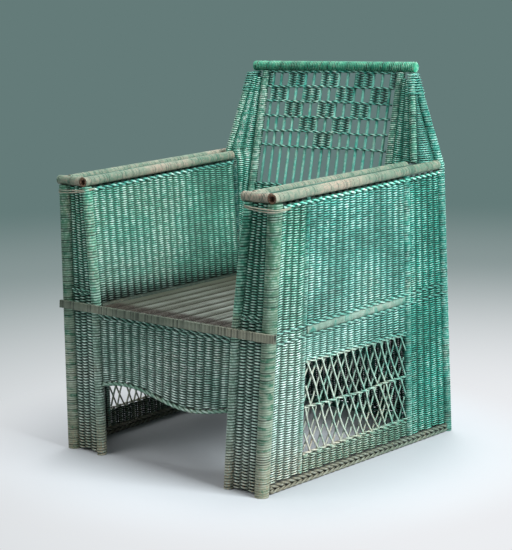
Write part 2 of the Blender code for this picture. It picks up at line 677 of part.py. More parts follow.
def build_openwork(base):
    """Spokes with woven squares that step in to a point, drawn flat and leant back."""
    rise = back_top - base
    length = hypot(rise.y, rise.z) - TOP_RAIL_RADIUS - CLEARANCE
    spread = rise.x / hypot(rise.y, rise.z)
    checks_top = length - TWIST_WIDTH

    def across(share, up):
        half = base.x + spread * up
        return (2 * share - 1) * half

    def gap(column, bottom, top):
        left = column / SPOKE_GAPS
        right = (column + 1) / SPOKE_GAPS
        trim = [SPOKE_WIDTH / 2, -SPOKE_WIDTH / 2]
        if column == 0:
            trim[0] = BACK_RADIUS + SPOKE_WIDTH
        if column == SPOKE_GAPS - 1:
            trim[1] = -BACK_RADIUS - SPOKE_WIDTH
        return [(across(left, bottom) + trim[0], bottom), (across(right, bottom) + trim[1], bottom),
                (across(right, top) + trim[1], top), (across(left, top) + trim[0], top)]

    gaps = []
    middle = (SPOKE_GAPS // 2 + 2) // 2
    for row in range(CHECK_ROWS):
        top = checks_top - row * CHECK_PITCH
        bottom = top - CHECK_PITCH + TWIST_WIDTH
        reach_out = middle - 1 - row
        for column in range(SPOKE_GAPS):
            square = (column + 1) // 2 + 1 - middle
            woven = abs(square) <= reach_out and (square - reach_out) % 2 == 0
            if not woven:
                gaps.append(gap(column, bottom, top))
    for column in range(SPOKE_GAPS):
        gaps.append(gap(column, TWIST_WIDTH, checks_top - CHECK_ROWS * CHECK_PITCH))
    side_gap = BACK_RADIUS + CLEARANCE
    outline = [(across(0, 0) + side_gap, 0), (across(1, 0) - side_gap, 0),
               (across(1, length) - side_gap, length), (across(0, length) + side_gap, length)]
    net = flat_net("back_openwork", outline, gaps, OPENWORK_THICKNESS)
    lean = Matrix.Rotation(atan2(rise.z, rise.y), 4, "X")
    net.data.transform(Matrix.Translation((0, base.y, base.z)) @ lean)


def build_rear():
    """The rear seat rail and the plain woven wall under it."""
    inside = Vector((REAR_RADIUS + CLEARANCE, 0, 0))
    rail = rear_rail - inside
    tube("seat_rail_rear", (Vector((-rail.x, rail.y, rail.z)), rail), SEAT_RAIL_RADIUS, 1)
    rows = []
    for z in (panel_foot, rear_rail.z - SEAT_RAIL_RADIUS - CLEARANCE):
        edge = at_height(REAR_LINE, z) - inside
        rows.append(straight_row(Vector((-edge.x, edge.y, z)), edge))
    woven_panel("rear_panel", rows, REAR_WIDTH, 1)
    border = at_height(REAR_LINE, BORDER_LIFT + BORDER_RADIUS) - inside
    ends = (Vector((-border.x, border.y, border.z)), border)
    tube("rear_border", ends, BORDER_RADIUS, 1, WOVEN, THIN_POLE_SIDES)


clear_scene()
chair = new_collection("wicker_armchair")
for hand, letter in ((1, "r"), (-1, "l")):
    build_posts(hand, letter)
    build_rails(hand, letter)
    build_side(hand, letter)
    build_arm(hand, letter)
build_front()
build_seat()
build_back()
build_rear()
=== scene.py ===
"""Looks of a painted wicker armchair.

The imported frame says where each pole, woven wall, lattice window and border is. This script gives them their
real form: cane wound on poles, reeds woven over stakes, rods that cross and borders that twist. Units are
metres, +Z is up and the chair faces -Y.
"""

import logging
import math
import zlib
from collections.abc import Callable
from dataclasses import dataclass, field
from enum import Enum

import bpy
import numpy as np
from mathutils import Matrix, Vector


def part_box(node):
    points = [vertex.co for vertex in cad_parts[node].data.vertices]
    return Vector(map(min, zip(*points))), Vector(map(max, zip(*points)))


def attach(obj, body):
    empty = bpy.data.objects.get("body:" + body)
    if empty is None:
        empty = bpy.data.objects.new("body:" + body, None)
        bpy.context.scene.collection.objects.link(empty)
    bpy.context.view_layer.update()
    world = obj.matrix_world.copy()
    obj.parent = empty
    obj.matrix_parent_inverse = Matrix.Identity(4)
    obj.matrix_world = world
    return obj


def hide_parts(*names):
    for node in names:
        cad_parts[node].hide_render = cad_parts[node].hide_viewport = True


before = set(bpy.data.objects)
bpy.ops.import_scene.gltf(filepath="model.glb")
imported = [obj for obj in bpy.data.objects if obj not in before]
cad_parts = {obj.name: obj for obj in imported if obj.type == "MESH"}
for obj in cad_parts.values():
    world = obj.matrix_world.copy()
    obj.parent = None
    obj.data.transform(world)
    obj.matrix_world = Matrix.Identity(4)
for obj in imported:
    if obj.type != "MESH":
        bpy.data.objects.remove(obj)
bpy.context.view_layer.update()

log = logging.getLogger("wicker_armchair")
Array = np.ndarray
Colour = tuple[float, float, float]
Place = tuple[float, float, float]
Span = tuple[float, float]

BODY = "root"
BAKE_MAP = "OFBake"
SIDES = ("l", "r")
TURN = 2 * math.pi
CREST_SHARE = 0.85
POLE_SMOOTHING = math.radians(50)
BAND_SMOOTHING = math.radians(40)
AHEAD = np.array([0, -1.0, 0])
BEHIND = np.array([0, 1.0, 0])


class Axis(Enum):
    """A direction of the frame."""

    X = 0
    Y = 1
    Z = 2


class Slot(Enum):
    """The record's material slots."""

    POLE = "wrapped_pole"
    WORN = "worn_pole"
    REED = "woven_reed"
    SEAT = "seat_reed"


class PoleEnd(Enum):
    """How the end of a pole looks."""

    CUT = "cut flat"
    HOLLOW = "pith gone, with a rim left"


def srgb(red: int, green: int, blue: int) -> Colour:
    """A colour written in screen values from 0 to 255, as the linear values that a shader takes."""
    shares = [value / 255 for value in (red, green, blue)]
    return tuple(((c + 0.055) / 1.055) ** 2.4 if c > 0.04045 else c / 12.92 for c in shares)


def dice(name: str) -> np.random.Generator:
    """A random generator that gives the same draws for the same name."""
    return np.random.default_rng(zlib.crc32(name.encode()))


def unit(vectors: Array) -> Array:
    """The vectors, each with a length of one."""
    return vectors / np.maximum(np.linalg.norm(vectors, axis=-1, keepdims=True), 1e-12)


def drift(rng: np.random.Generator, share: Array, waves: float) -> Array:
    """A smooth random curve along a reed.

    Args:
        rng: Where the phases are drawn.
        share: Places along the reed, from 0 to 1.
        waves: How many swings the slowest part makes.

    Returns:
        A value from about -1 to 1 for each place.
    """
    total = np.zeros_like(share)
    for weight, speed in ((0.5, 1.0), (0.3, 1.7), (0.2, 2.9)):
        total += weight * np.sin(TURN * (waves * speed * share + rng.random()))
    return total


def along_line(line: Array, step: float) -> Array:
    """The same line with points a step apart."""
    lengths = np.linalg.norm(np.diff(line, axis=0), axis=1)
    reached = np.concatenate([[0], np.cumsum(lengths)])
    places = np.linspace(0, reached[-1], max(2, round(reached[-1] / step) + 1))
    return np.stack([np.interp(places, reached, line[:, i]) for i in range(3)], axis=1)


def rounded(line: Array) -> Array:
    """The same line with its corners cut off three times."""
    for _ in range(3):
        near = 0.75 * line[:-1] + 0.25 * line[1:]
        far = 0.25 * line[:-1] + 0.75 * line[1:]
        inside = np.stack([near, far], axis=1).reshape(-1, 3)
        line = np.concatenate([line[:1], inside, line[-1:]])
    return line


def places_of(mesh: bpy.types.Mesh) -> Array:
    """The places of a mesh's vertices, a row each."""
    found = np.empty(len(mesh.vertices) * 3, np.float32)
    mesh.vertices.foreach_get("co", found)
    return found.reshape(-1, 3)


def keep_wear_and_shade(mesh: bpy.types.Mesh, crest: Array, tone: Array) -> None:
    """Keeps at the vertices what the finishes look at.

    Args:
        mesh: The mesh.
        crest: How far each vertex stands out, from 0 to 1, which the finishes draw chalky with painted
            highlight where high and darker with dirt and painted shade where low.
        tone: The shade of its reed or turn, from 0 to 1.
    """
    for name, values in (("crest", crest), ("tone", tone)):
        layer = mesh.attributes.new(name, "FLOAT", "POINT")
        layer.data.foreach_set("value", values.astype(np.float32))


def deselect() -> None:
    """Leaves nothing selected, because operators act on all that is."""
    bpy.ops.object.select_all(action="DESELECT")


def choose(piece: bpy.types.Object, wanted: Callable[[Vector], bool]) -> None:
    """Enters edit mode with only some vertices selected.

    Args:
        piece: The active object.
        wanted: Says of a vertex's place whether it is selected.
    """
    bpy.ops.object.mode_set(mode="EDIT")
    bpy.ops.mesh.select_all(action="DESELECT")
    bpy.ops.object.mode_set(mode="OBJECT")
    for vert in piece.data.vertices:
        vert.select = wanted(vert.co)
    bpy.ops.object.mode_set(mode="EDIT")


def hand_in(piece: bpy.types.Object, slot: Slot, *nodes: str) -> None:
    """Ties a finished piece to the frame.

    Args:
        piece: The finished object.
        slot: The record's material slot; not used.
        nodes: The CAD nodes that it stands for.
    """
    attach(piece, BODY)
    if nodes:
        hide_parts(*nodes)
    log.info("%s: %d faces", piece.name, len(piece.data.polygons))


@dataclass(frozen=True)
class Node:
    """A CAD node, read for the places of its rings and corners."""

    name: str
    ring_gap: float = 0.010

    def points(self) -> Array:
        """The node's vertices, each once."""
        places = places_of(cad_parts[self.name].data)
        return np.unique(places.astype(float).round(5), axis=0)

    def groups(self, axis: Axis) -> list[Array]:
        """The vertices in groups that lie apart along an axis, in its order."""
        points = self.points()
        points = points[np.argsort(points[:, axis.value])]
        apart = np.flatnonzero(np.diff(points[:, axis.value]) > self.ring_gap) + 1
        return np.split(points, apart)

    def rings(self, axis: Axis) -> Array:
        """The centre of each ring of a pole along an axis."""
        return np.array([group.mean(axis=0) for group in self.groups(axis)])

    def ring_radius(self, axis: Axis) -> float:
        """The radius of a pole's first ring."""
        first = self.groups(axis)[0]
        return float(np.median(np.linalg.norm(first - first.mean(axis=0), axis=1)))

    def at_height(self, z: float) -> list[float]:
        """Where a pole's middle is at a height, along X and Y."""
        line = self.rings(Axis.Z)
        return [np.interp(z, line[:, 2], line[:, i]) for i in range(2)]

    def corner(self, across: Axis, up: Axis, far: bool, top: bool) -> Array:
        """The middle of one corner of a four-sided panel."""
        points = self.points()
        score = np.zeros(len(points))
        for axis, ahead in ((across, far), (up, top)):
            values = points[:, axis.value]
            share = (values - values.min()) / np.ptp(values)
            score += share if ahead else 1 - share
        return points[np.argsort(score)[-2:]].mean(axis=0)


@dataclass
class Wall:
    """A woven surface: rows of points from bottom to top, each row from its start to its end."""

    grid: Array

    @classmethod
    def between(cls, node: str, across: Axis, up: Axis) -> "Wall":
        """The wall between the four corners of a panel."""
        cad = Node(node)
        rows = [[cad.corner(across, up, far, top) for far in (False, True)] for top in (False, True)]
        return cls(np.array(rows))

    @classmethod
    def by_levels(cls, node: str, across: Axis) -> "Wall":
        """The wall through the level rows of a bent panel."""
        rows = []
        for group in Node(node).groups(Axis.Z):
            ordered = group[np.argsort(group[:, across.value])]
            rows.append([ordered[:2].mean(axis=0), ordered[-2:].mean(axis=0)])
        return cls(np.array(rows))

    def width(self) -> float:
        """The mean length of the rows."""
        return float(np.linalg.norm(np.diff(self.grid, axis=1), axis=2).sum(axis=1).mean())

    def height(self) -> float:
        """The mean distance from the lowest row to the highest."""
        return float(np.linalg.norm(np.diff(self.grid, axis=0), axis=2).mean(axis=1).sum())

    def cell(self, u: Array, v: Array) -> tuple[Array, ...]:
        """The four grid points round each place, and its shares between them."""
        rows, columns = self.grid.shape[:2]
        middle = self.grid.mean(axis=1)
        reached = np.concatenate([[0], np.cumsum(np.linalg.norm(np.diff(middle, axis=0), axis=1))])
        level = np.interp(v, reached / reached[-1], np.arange(rows))
        level = level + np.where(v > 1, v - 1, 0) + np.where(v < 0, v, 0)
        i = np.clip(np.floor(level).astype(int), 0, rows - 2)
        j = np.clip(np.floor(u * (columns - 1)).astype(int), 0, columns - 2)
        s = (u * (columns - 1) - j)[:, None]
        t = (level - i)[:, None]
        grid = self.grid
        return grid[i, j], grid[i, j + 1], grid[i + 1, j], grid[i + 1, j + 1], s, t

    def at(self, u: Array, v: Array) -> Array:
        """Points of the wall at shares u along its rows and v up them."""
        a, b, c, d, s, t = self.cell(u, v)
        return (a * (1 - s) + b * s) * (1 - t) + (c * (1 - s) + d * s) * t

    def facing(self, u: Array, v: Array) -> Array:
        """The wall's normals at the same places."""
        a, b, c, d, s, t = self.cell(u, v)
        along = (b - a) * (1 - t) + (d - c) * t
        upward = (c - a) * (1 - s) + (d - b) * s
        return unit(np.cross(along, upward))


@dataclass
class Reed:
    """One reed: its line, the way out of the wall, thickness, lift off the wall, tone and the face left
    without painted shade.
    """

    line: Array
    out: Array
    radius: Array
    lift: Array
    reach: float
    tone: Array
    face: float


@dataclass
class Reeds:
    """Many reeds that share one mesh.

    No primitive gives a reed its worn look and painted shade, so each reed is swept along its line here. A
    vertex keeps how far it stands out and the tone of its reed, and each reed has its own strip of the map for
    baking.
    """

    name: str
    corners: int = 5
    # Painted shade: how much the inward side of a faced reed counts as standing out, so that it is drawn
    # darker as the chair's shaded inside.
    inner_crest_share: float = 0.6
    map_margin: float = 0.1
    cap_width: float = 0.4
    cap_height: float = 0.3
    reeds: list[Reed] = field(default_factory=list)

    def add(self, line: Array, out: Array, radius: float | Array, lift: float | Array, reach: float,
            tone: float | Array, face: float = 0.0) -> None:
        """Adds a reed.

        Args:
            line: Its points.
            out: The way out of the wall at each point, or one way for all.
            radius: Its radius.
            lift: How far its middle stands off the wall.
            reach: How far the wall's highest crest stands off.
            tone: Its shade, from 0 to 1.
            face: 1 where the side against out is drawn darker as painted shade, -1 where the side along out
                is, 0 for neither.
        """
        count = len(line)
        out = np.broadcast_to(out, (count, 3))
        radius, lift, tone = (np.broadcast_to(value, count) for value in (radius, lift, tone))
        self.reeds.append(Reed(line, out, radius, lift, reach, tone, face))

    def build(self, material: bpy.types.Material) -> bpy.types.Object:
        """Sweeps the reeds and makes the object.

        Args:
            material: The finish of all of them.

        Returns:
            The new object, at the origin.
        """
        angle = np.arange(self.corners) * TURN / self.corners
        points, crests, tones, faces, maps = [], [], [], [], []
        start = 0
        for band, reed in enumerate(self.reeds):
            count = len(reed.line)
            along = unit(np.gradient(reed.line, axis=0))
            beside = unit(np.cross(along, reed.out))
            outward = np.cross(beside, along)
            ring = outward[:, None] * np.cos(angle)[:, None] + beside[:, None] * np.sin(angle)[:, None]
            points.append((reed.line[:, None] + ring * reed.radius[:, None, None]).reshape(-1, 3))
            height = reed.lift[:, None] + reed.radius[:, None] * np.cos(angle)
            # How far each vertex stands out: the finishes draw high values chalky with painted highlight and
            # low ones darker with dirt and painted shade.
            painted = np.abs(height)
            # On a faced wall the inward side counts as lower, which draws it darker as painted shade.
            if reed.face:
                painted = np.where(height * reed.face > 0, painted, self.inner_crest_share * painted)
            crests.append(np.clip(painted / reed.reach, 0, 1).ravel())
            tones.append(np.repeat(reed.tone, self.corners))
            faces += self.skin(start, count)
            maps.append(self.strip(band, count))
            start += count * self.corners
        mesh = bpy.data.meshes.new(self.name)
        mesh.from_pydata(np.concatenate(points), [], faces)
        mesh.shade_smooth()
        keep_wear_and_shade(mesh, np.concatenate(crests), np.concatenate(tones))
        bake_map = mesh.uv_layers.new(name=BAKE_MAP)
        bake_map.uv.foreach_set("vector", np.concatenate(maps).astype(np.float32).ravel())
        mesh.materials.append(material)
        piece = bpy.data.objects.new(self.name, mesh)
        bpy.context.scene.collection.objects.link(piece)
        return piece

    def skin(self, start: int, count: int) -> list[list[int]]:
        """The faces of a reed of count rings whose first vertex is start, closed at both ends."""
        i, j = np.meshgrid(np.arange(count - 1), np.arange(self.corners), indexing="ij")
        a = start + i * self.corners + j
        b = start + i * self.corners + (j + 1) % self.corners
        quads = np.stack([a, b, b + self.corners, a + self.corners], axis=2).reshape(-1, 4).tolist()
        last = start + (count - 1) * self.corners
        first_cap = [start + k for k in reversed(range(self.corners))]
        return quads + [first_cap, [last + k for k in range(self.corners)]]

    def strip(self, band: int, count: int) -> Array:
        """The map places of a reed's face corners, in the order of its faces."""
        margin = self.map_margin
        room = 1 - 2 * margin
        i, j = np.meshgrid(np.arange(count - 1), np.arange(self.corners), indexing="ij")
        low = (band + margin + room * j / self.corners) / len(self.reeds)
        high = (band + margin + room * (j + 1) / self.corners) / len(self.reeds)
        near = i / (count - 1)
        far = (i + 1) / (count - 1)
        quads = np.stack([near, low, near, high, far, high, far, low], axis=2).reshape(-1, 2)
        angle = np.arange(self.corners) * TURN / self.corners
        size = self.cap_width / (count - 1)
        caps = []
        for middle, turn in ((size, -angle), (1 - size, angle)):
            across = (band + 0.5 + self.cap_height * np.sin(turn)) / len(self.reeds)
            caps.append(np.stack([middle + size * np.cos(turn), across], axis=1))
        return np.concatenate([quads, *caps])


@dataclass(frozen=True)
class Weave:
    """Reeds woven in and out of stakes that stand three together, row on row."""

    row_pitch: float = 0.0029
    reed: float = 0.00185
    stake: float = 0.0021
    stake_gap: float = 0.0043
    stake_pitch: float = 0.026
    swing: float = 0.0030
    points_per_stake: int = 4
    wander: float = 0.0016
    tuck: float = 0.002
    row_stray: float = 0.08
    thickness: Span = (0.92, 1.06)
    tones: Span = (0.2, 0.8)
    tone_drift: float = 0.3

    def reach(self) -> float:
        """How far off the wall a reed counts as standing out."""
        return CREST_SHARE * (self.swing + self.reed)

    def fill(self, reeds: Reeds, wall: Wall, rng: np.random.Generator, low: float = 0.0, high: float = 1.0,
             stakes: int = 0, outside: Array | None = None, standing: bool = True) -> None:
        """Weaves a wall.

        Args:
            reeds: Where the reeds are added.
            wall: The surface that they follow.
            rng: Where the small differences are drawn.
            low: Share of the height where the rows begin.
            high: Share of the height where they end.
            stakes: How many groups of stakes stand in the wall, or 0 to work it out from its width.
            outside: The way that its outer face looks, the other face being drawn darker as painted shade, or
                nothing where neither is.
            standing: Whether the stakes are added too.
        """
        stakes = stakes or max(1, round(wall.width() / self.stake_pitch))
        if standing:
            self.stand(reeds, wall, rng, stakes)
        rows = max(1, round(wall.height() * (high - low) / self.row_pitch))
        face = 0.0
        if outside is not None:
            middle = np.array([0.5])
            face = float(np.sign(wall.facing(middle, middle)[0] @ outside))
        tuck = self.tuck / wall.width()
        u = np.linspace(-tuck, 1 + tuck, stakes * self.points_per_stake + 1)
        sway = drift(rng, u, 1.5) * self.wander / wall.height()
        for row in range(rows):
            share = (row + 0.5) / rows
            v = low + (high - low) * share + sway * 4 * share * (1 - share)
            v = v + drift(rng, u, 2) * self.row_stray * self.row_pitch / wall.height()
            lift = self.swing * np.sin(math.pi * (u * stakes + row))
            out = wall.facing(u, v)
            radius = self.reed * rng.uniform(*self.thickness)
            tone = np.clip(rng.uniform(*self.tones) + self.tone_drift * drift(rng, u, 3), 0, 1)
            reeds.add(wall.at(u, v) + out * lift[:, None], out, radius, lift, self.reach(), tone, face)

    def stand(self, reeds: Reeds, wall: Wall, rng: np.random.Generator, stakes: int) -> None:
        """Adds the stakes, three together.

        Args:
            reeds: Where they are added.
            wall: The surface that they stand in.
            rng: Where their shades are drawn.
            stakes: How many groups there are.
        """
        rise = np.linspace(0, 1, 4 * len(wall.grid))
        for i in range(stakes):
            for beside in (-self.stake_gap, 0.0, self.stake_gap):
                u = np.full_like(rise, (i + 0.5) / stakes + beside / wall.width())
                # Painted shade: a reach of 1 makes each stake count as lying deep, so the finishes draw it
                # near black, as shade in the gaps between the rows.
                reeds.add(wall.at(u, rise), wall.facing(u, rise), self.stake, 0.0, 1.0, rng.random())


@dataclass(frozen=True)
class Twist:
    """Reeds that twist round each other along a line."""

    radius: float = 0.0020
    swing: float = 0.0020
    turn: float = 0.052
    strands: int = 2
    points_per_turn: int = 10
    points_across: int = 40
    tones: Span = (0.5, 1.0)

    def across(self, reeds: Reeds, wall: Wall, shares: tuple[float, ...], out: Array, lift: float,
               rng: np.random.Generator) -> None:
        """Lays twists across a wall.

        Args:
            reeds: Where their strands are added.
            wall: The wall.
            shares: The height of each twist, as a share of the wall's.
            out: The way out of the wall.
            lift: How far off the wall they lie.
            rng: Where the shades and the starts of the twists are drawn.
        """
        u = np.linspace(0, 1, self.points_across)
        for share in shares:
            self.lay(reeds, wall.at(u, np.full_like(u, share)) + out * lift, out, rng)

    def lay(self, reeds: Reeds, line: Array, out: Array, rng: np.random.Generator) -> None:
        """Adds the twist.

        Args:
            reeds: Where its strands are added.
            line: The line that they twist round.
            out: The way out of the wall.
            rng: Where the shades and the start of the twist are drawn.
        """
        middle = along_line(line, abs(self.turn) / self.points_per_turn)
        out = unit(np.broadcast_to(out, middle.shape))
        along = unit(np.gradient(middle, axis=0))
        beside = unit(np.cross(along, out))
        reached = np.concatenate([[0], np.cumsum(np.linalg.norm(np.diff(middle, axis=0), axis=1))])
        begin = rng.random()
        reach = CREST_SHARE * (self.swing + self.radius)
        for strand in range(self.strands):
            angle = TURN * (reached / self.turn + begin + strand / self.strands)
            lift = self.swing * np.cos(angle)
            offset = out * lift[:, None] + beside * (self.swing * np.sin(angle))[:, None]
            reeds.add(middle + offset, out, self.radius, lift, reach, rng.uniform(*self.tones))


def weave_in(node: str, wall: Wall, weave: Weave, finish: bpy.types.Material, slot: Slot = Slot.REED,
             corners: int = 5, **how: object) -> None:
    """Weaves a wall with nothing else on it and hands it in.

    Args:
        node: The CAD node that it stands for.
        wall: The surface that the reeds follow.
        weave: The kind of weave.
        finish: The finish of the reeds.
        slot: The record's material slot.
        corners: How many sides a reed has.
        how: What else the weave is told.
    """
    reeds = Reeds(f"weave_{node}", corners)
    weave.fill(reeds, wall, dice(node), **how)
    hand_in(reeds.build(finish), slot, node)


class Shades:
    """A small helper that adds shader nodes and links them."""

    def __init__(self, name: str) -> None:
        """Starts a material with its Principled shader."""
        self.material = bpy.data.materials.new(name)
        self.material.use_nodes = True
        self.tree = self.material.node_tree
        self.shader = self.tree.nodes["Principled BSDF"]
        self.place = self.tree.nodes.new("ShaderNodeTexCoord").outputs["Object"]

    def feed(self, socket: bpy.types.NodeSocket, value: object) -> None:
        """Links a socket, or sets its value where a plain number or colour is given."""
        if isinstance(value, bpy.types.NodeSocket):
            self.tree.links.new(value, socket)
        elif socket.type == "RGBA":
            socket.default_value = (*value, 1.0)
        else:
            socket.default_value = value

    def node(self, kind: str, inputs: dict[str | int, object], **settings: object) -> bpy.types.Node:
        """Adds a node.

        Args:
            kind: Its kind, as in the end of its type's name.
            inputs: What its sockets are fed.
            settings: Its other settings.

        Returns:
            The new node.
        """
        node = self.tree.nodes.new(f"ShaderNode{kind}")
        for name, value in settings.items():
            setattr(node, name, value)
        for socket, value in inputs.items():
            self.feed(node.inputs[socket], value)
        return node

    def attribute(self, name: str) -> bpy.types.NodeSocket:
        """A value kept at the vertices."""
        return self.node("Attribute", {}, attribute_name=name).outputs["Fac"]

    def noise(self, scale: float, detail: float = 3.0, stretch: Place = (1, 1, 1)) -> bpy.types.NodeSocket:
        """Noise in the piece's own space, about 0.5 on average."""
        mapping = self.node("Mapping", {"Scale": stretch, "Vector": self.place})
        inputs = {"Scale": scale, "Detail": detail, "Vector": mapping.outputs["Vector"]}
        return self.node("TexNoise", inputs).outputs["Fac"]

    def axis(self, axis: Axis) -> bpy.types.NodeSocket:
        """One coordinate of the place."""
        return self.node("SeparateXYZ", {0: self.place}).outputs[axis.value]

    def distance(self, middle: Place) -> bpy.types.NodeSocket:
        """How far the place is from a point."""
        return self.node("VectorMath", {0: self.place, 1: middle}, operation="DISTANCE").outputs["Value"]

    def ramp(self, value: bpy.types.NodeSocket, start: float, end: float, low: float = 0.0,
             high: float = 1.0) -> bpy.types.NodeSocket:
        """Maps start..end smoothly on low..high and holds it there."""
        inputs = {"Value": value, "From Min": start, "From Max": end, "To Min": low, "To Max": high}
        return self.node("MapRange", inputs, interpolation_type="SMOOTHSTEP").outputs["Result"]

    def maths(self, operation: str, a: object, b: object) -> bpy.types.NodeSocket:
        """One step of arithmetic, held between 0 and 1."""
        return self.node("Math", {0: a, 1: b}, operation=operation, use_clamp=True).outputs[0]

    def product(self, first: object, *others: object) -> bpy.types.NodeSocket:
        """The values multiplied one after the other, held between 0 and 1."""
        for value in others:
            first = self.maths("MULTIPLY", first, value)
        return first

    def total(self, first: object, *others: object) -> bpy.types.NodeSocket:
        """The values added one after the other, held between 0 and 1."""
        for value in others:
            first = self.maths("ADD", first, value)
        return first

    def mix(self, share: object, a: object, b: object) -> bpy.types.NodeSocket:
        """Blends two colours."""
        return self.node("Mix", {"Factor": share, 6: a, 7: b}, data_type="RGBA").outputs[2]

    def finish(self, colour: bpy.types.NodeSocket, roughness: object, grain: bpy.types.NodeSocket,
               strength: float, depth: float) -> bpy.types.Material:
        """Feeds the shader.

        Args:
            colour: The colour of the surface.
            roughness: How dull it is.
            grain: The height of its fine grain, which shows in the normals only.
            strength: How strongly the grain shows.
            depth: How deep it is.

        Returns:
            The finished material.
        """
        bump = self.node("Bump", {"Strength": strength, "Distance": depth, "Height": grain})
        self.feed(self.shader.inputs["Base Color"], colour)
        self.feed(self.shader.inputs["Roughness"], roughness)
        self.feed(self.shader.inputs["Normal"], bump.outputs["Normal"])
        return self.material


@dataclass(frozen=True)
class Signs:
    """What a finish looks at: a place's relief, its reed's shade, patches of noise and where it lies."""

    crest: bpy.types.NodeSocket
    tone: bpy.types.NodeSocket
    patch: bpy.types.NodeSocket
    mottle: bpy.types.NodeSocket
    blot: bpy.types.NodeSocket
    fleck: bpy.types.NodeSocket
    right: bpy.types.NodeSocket
    depth: bpy.types.NodeSocket
    height: bpy.types.NodeSocket


@dataclass(frozen=True)
class AgedPaint:
    """Green paint on reed or cane: chalky, with painted highlight, where it stands out; grimy, with painted
    shade, where it lies deep; bare where rubbed.

    A span gives the places, in metres, between which an effect grows from nothing to its full strength.
    """

    name: str
    deep: Colour = srgb(0, 98, 84)
    clear: Colour = srgb(38, 180, 160)
    faded: Colour = srgb(140, 168, 156)
    chalk_and_highlight: Colour = srgb(218, 242, 234)
    bare: Colour = srgb(168, 142, 112)
    grime_and_shade: Colour = srgb(14, 26, 20)
    fade: float = 0.0
    chalk_and_highlight_share: float = 0.9
    least_chalk_and_highlight: float = 0.35
    bare_share: float = 0.2
    blotch: float = 0.0
    blot_stretch: Place = (1, 1, 0.7)
    right_fade: float = 0.0
    rear_shade: float = 0.55
    rear_chalk_and_highlight: float = 0.3
    top_chalk_and_highlight: float = 1.0
    foot_wear: float = 0.8
    seat_shade_height: float = -1.0
    seat_shade_depth: float = 0.055
    grime_and_shade_start: float = 0.86
    grime_and_shade_depth: float = 0.96
    dark_turns: float = 0.0
    roughness: float = 0.55
    worn_roughness: float = 0.8
    shine: float = 0.35
    grain: float = 0.0006
    grain_strength: float = 0.35
    patch_scale: float = 6.0
    mottle_scale: float = 105.0
    blot_scale: float = 40.0
    fleck_scale: float = 420.0
    shade_span: Span = (0.36, -0.10)
    front_span: Span = (0.30, -0.34)
    low_span: Span = (0.66, 0.06)
    right_span: Span = (0.14, 0.30)
    chalk_and_highlight_span: Span = (0.36, -0.15)
    top_span: Span = (0.48, 0.30)
    foot_span: Span = (0.16, 0.0)
    foot_front_span: Span = (0.32, -0.20)

    def material(self) -> bpy.types.Material:
        """Makes the material.

        Returns:
            A new material whose pattern lies on the object's own coordinates.
        """
        shades = Shades(self.name)
        signs = Signs(
            crest=shades.attribute("crest"),
            tone=shades.attribute("tone"),
            patch=shades.noise(self.patch_scale),
            mottle=shades.noise(self.mottle_scale),
            blot=shades.noise(self.blot_scale, stretch=self.blot_stretch),
            fleck=shades.noise(self.fleck_scale, 2.0),
            right=shades.axis(Axis.X),
            depth=shades.axis(Axis.Y),
            height=shades.axis(Axis.Z),
        )
        colour = self.painted(shades, signs)
        colour = self.bleached(shades, signs, colour)
        colour = self.chalked_and_highlighted(shades, signs, colour)
        colour = self.rubbed(shades, signs, colour)
        colour = self.soiled_and_shaded(shades, signs, colour)
        roughness = shades.ramp(signs.mottle, 0.3, 0.7, self.roughness, self.worn_roughness)
        shades.feed(shades.shader.inputs["Specular IOR Level"], self.shine)
        return shades.finish(colour, roughness, signs.fleck, self.grain_strength, self.grain)

    def painted(self, shades: Shades, signs: Signs) -> bpy.types.NodeSocket:
        """The paint itself, deep or clear by reed and by patch, and deeper towards the rear."""
        shade = shades.total(
            shades.ramp(signs.tone, 0.0, 1.0, 0.0, 0.4),
            shades.ramp(signs.mottle, 0.35, 0.7, 0.0, 0.3),
            shades.ramp(signs.patch, 0.40, 0.60, 0.0, 0.4),
        )
        shade = shades.product(shade, shades.ramp(signs.depth, *self.shade_span, self.rear_shade, 1.0))
        return shades.mix(shade, self.deep, self.clear)

    def bleached(self, shades: Shades, signs: Signs, colour: bpy.types.NodeSocket) -> bpy.types.NodeSocket:
        """The colour faded by light, most of all low at the front."""
        fading = shades.product(
            shades.ramp(signs.depth, *self.front_span),
            shades.ramp(signs.height, *self.low_span),
            shades.ramp(signs.patch, 0.30, 0.62, 0.5, 1.0),
        )
        right = shades.ramp(signs.right, *self.right_span, 0.0, self.right_fade)
        fading = shades.total(fading, self.fade, right)
        fading = shades.product(fading, shades.ramp(signs.blot, 0.38, 0.50, 1.0 - self.blotch, 1.0))
        return shades.mix(fading, colour, self.faded)

    def chalked_and_highlighted(self, shades: Shades, signs: Signs, colour: bpy.types.NodeSocket) -> bpy.types.NodeSocket:
        """The colour gone chalky on the crests, partly worn paint and partly painted highlight."""
        # Chalkiness and painted highlight: the more a place stands out, the paler it is drawn.
        chalk_and_highlight_mask = shades.product(
            shades.ramp(signs.crest, 0.66, 1.0),
            shades.ramp(signs.mottle, 0.42, 0.58, 0.15, 1.0),
            shades.ramp(signs.patch, 0.40, 0.60, self.least_chalk_and_highlight, 1.0),
            shades.ramp(signs.depth, *self.chalk_and_highlight_span, self.rear_chalk_and_highlight, 1.0),
            shades.ramp(signs.height, *self.top_span, self.top_chalk_and_highlight, 1.0),
            self.chalk_and_highlight_share,
        )
        return shades.mix(chalk_and_highlight_mask, colour, self.chalk_and_highlight)

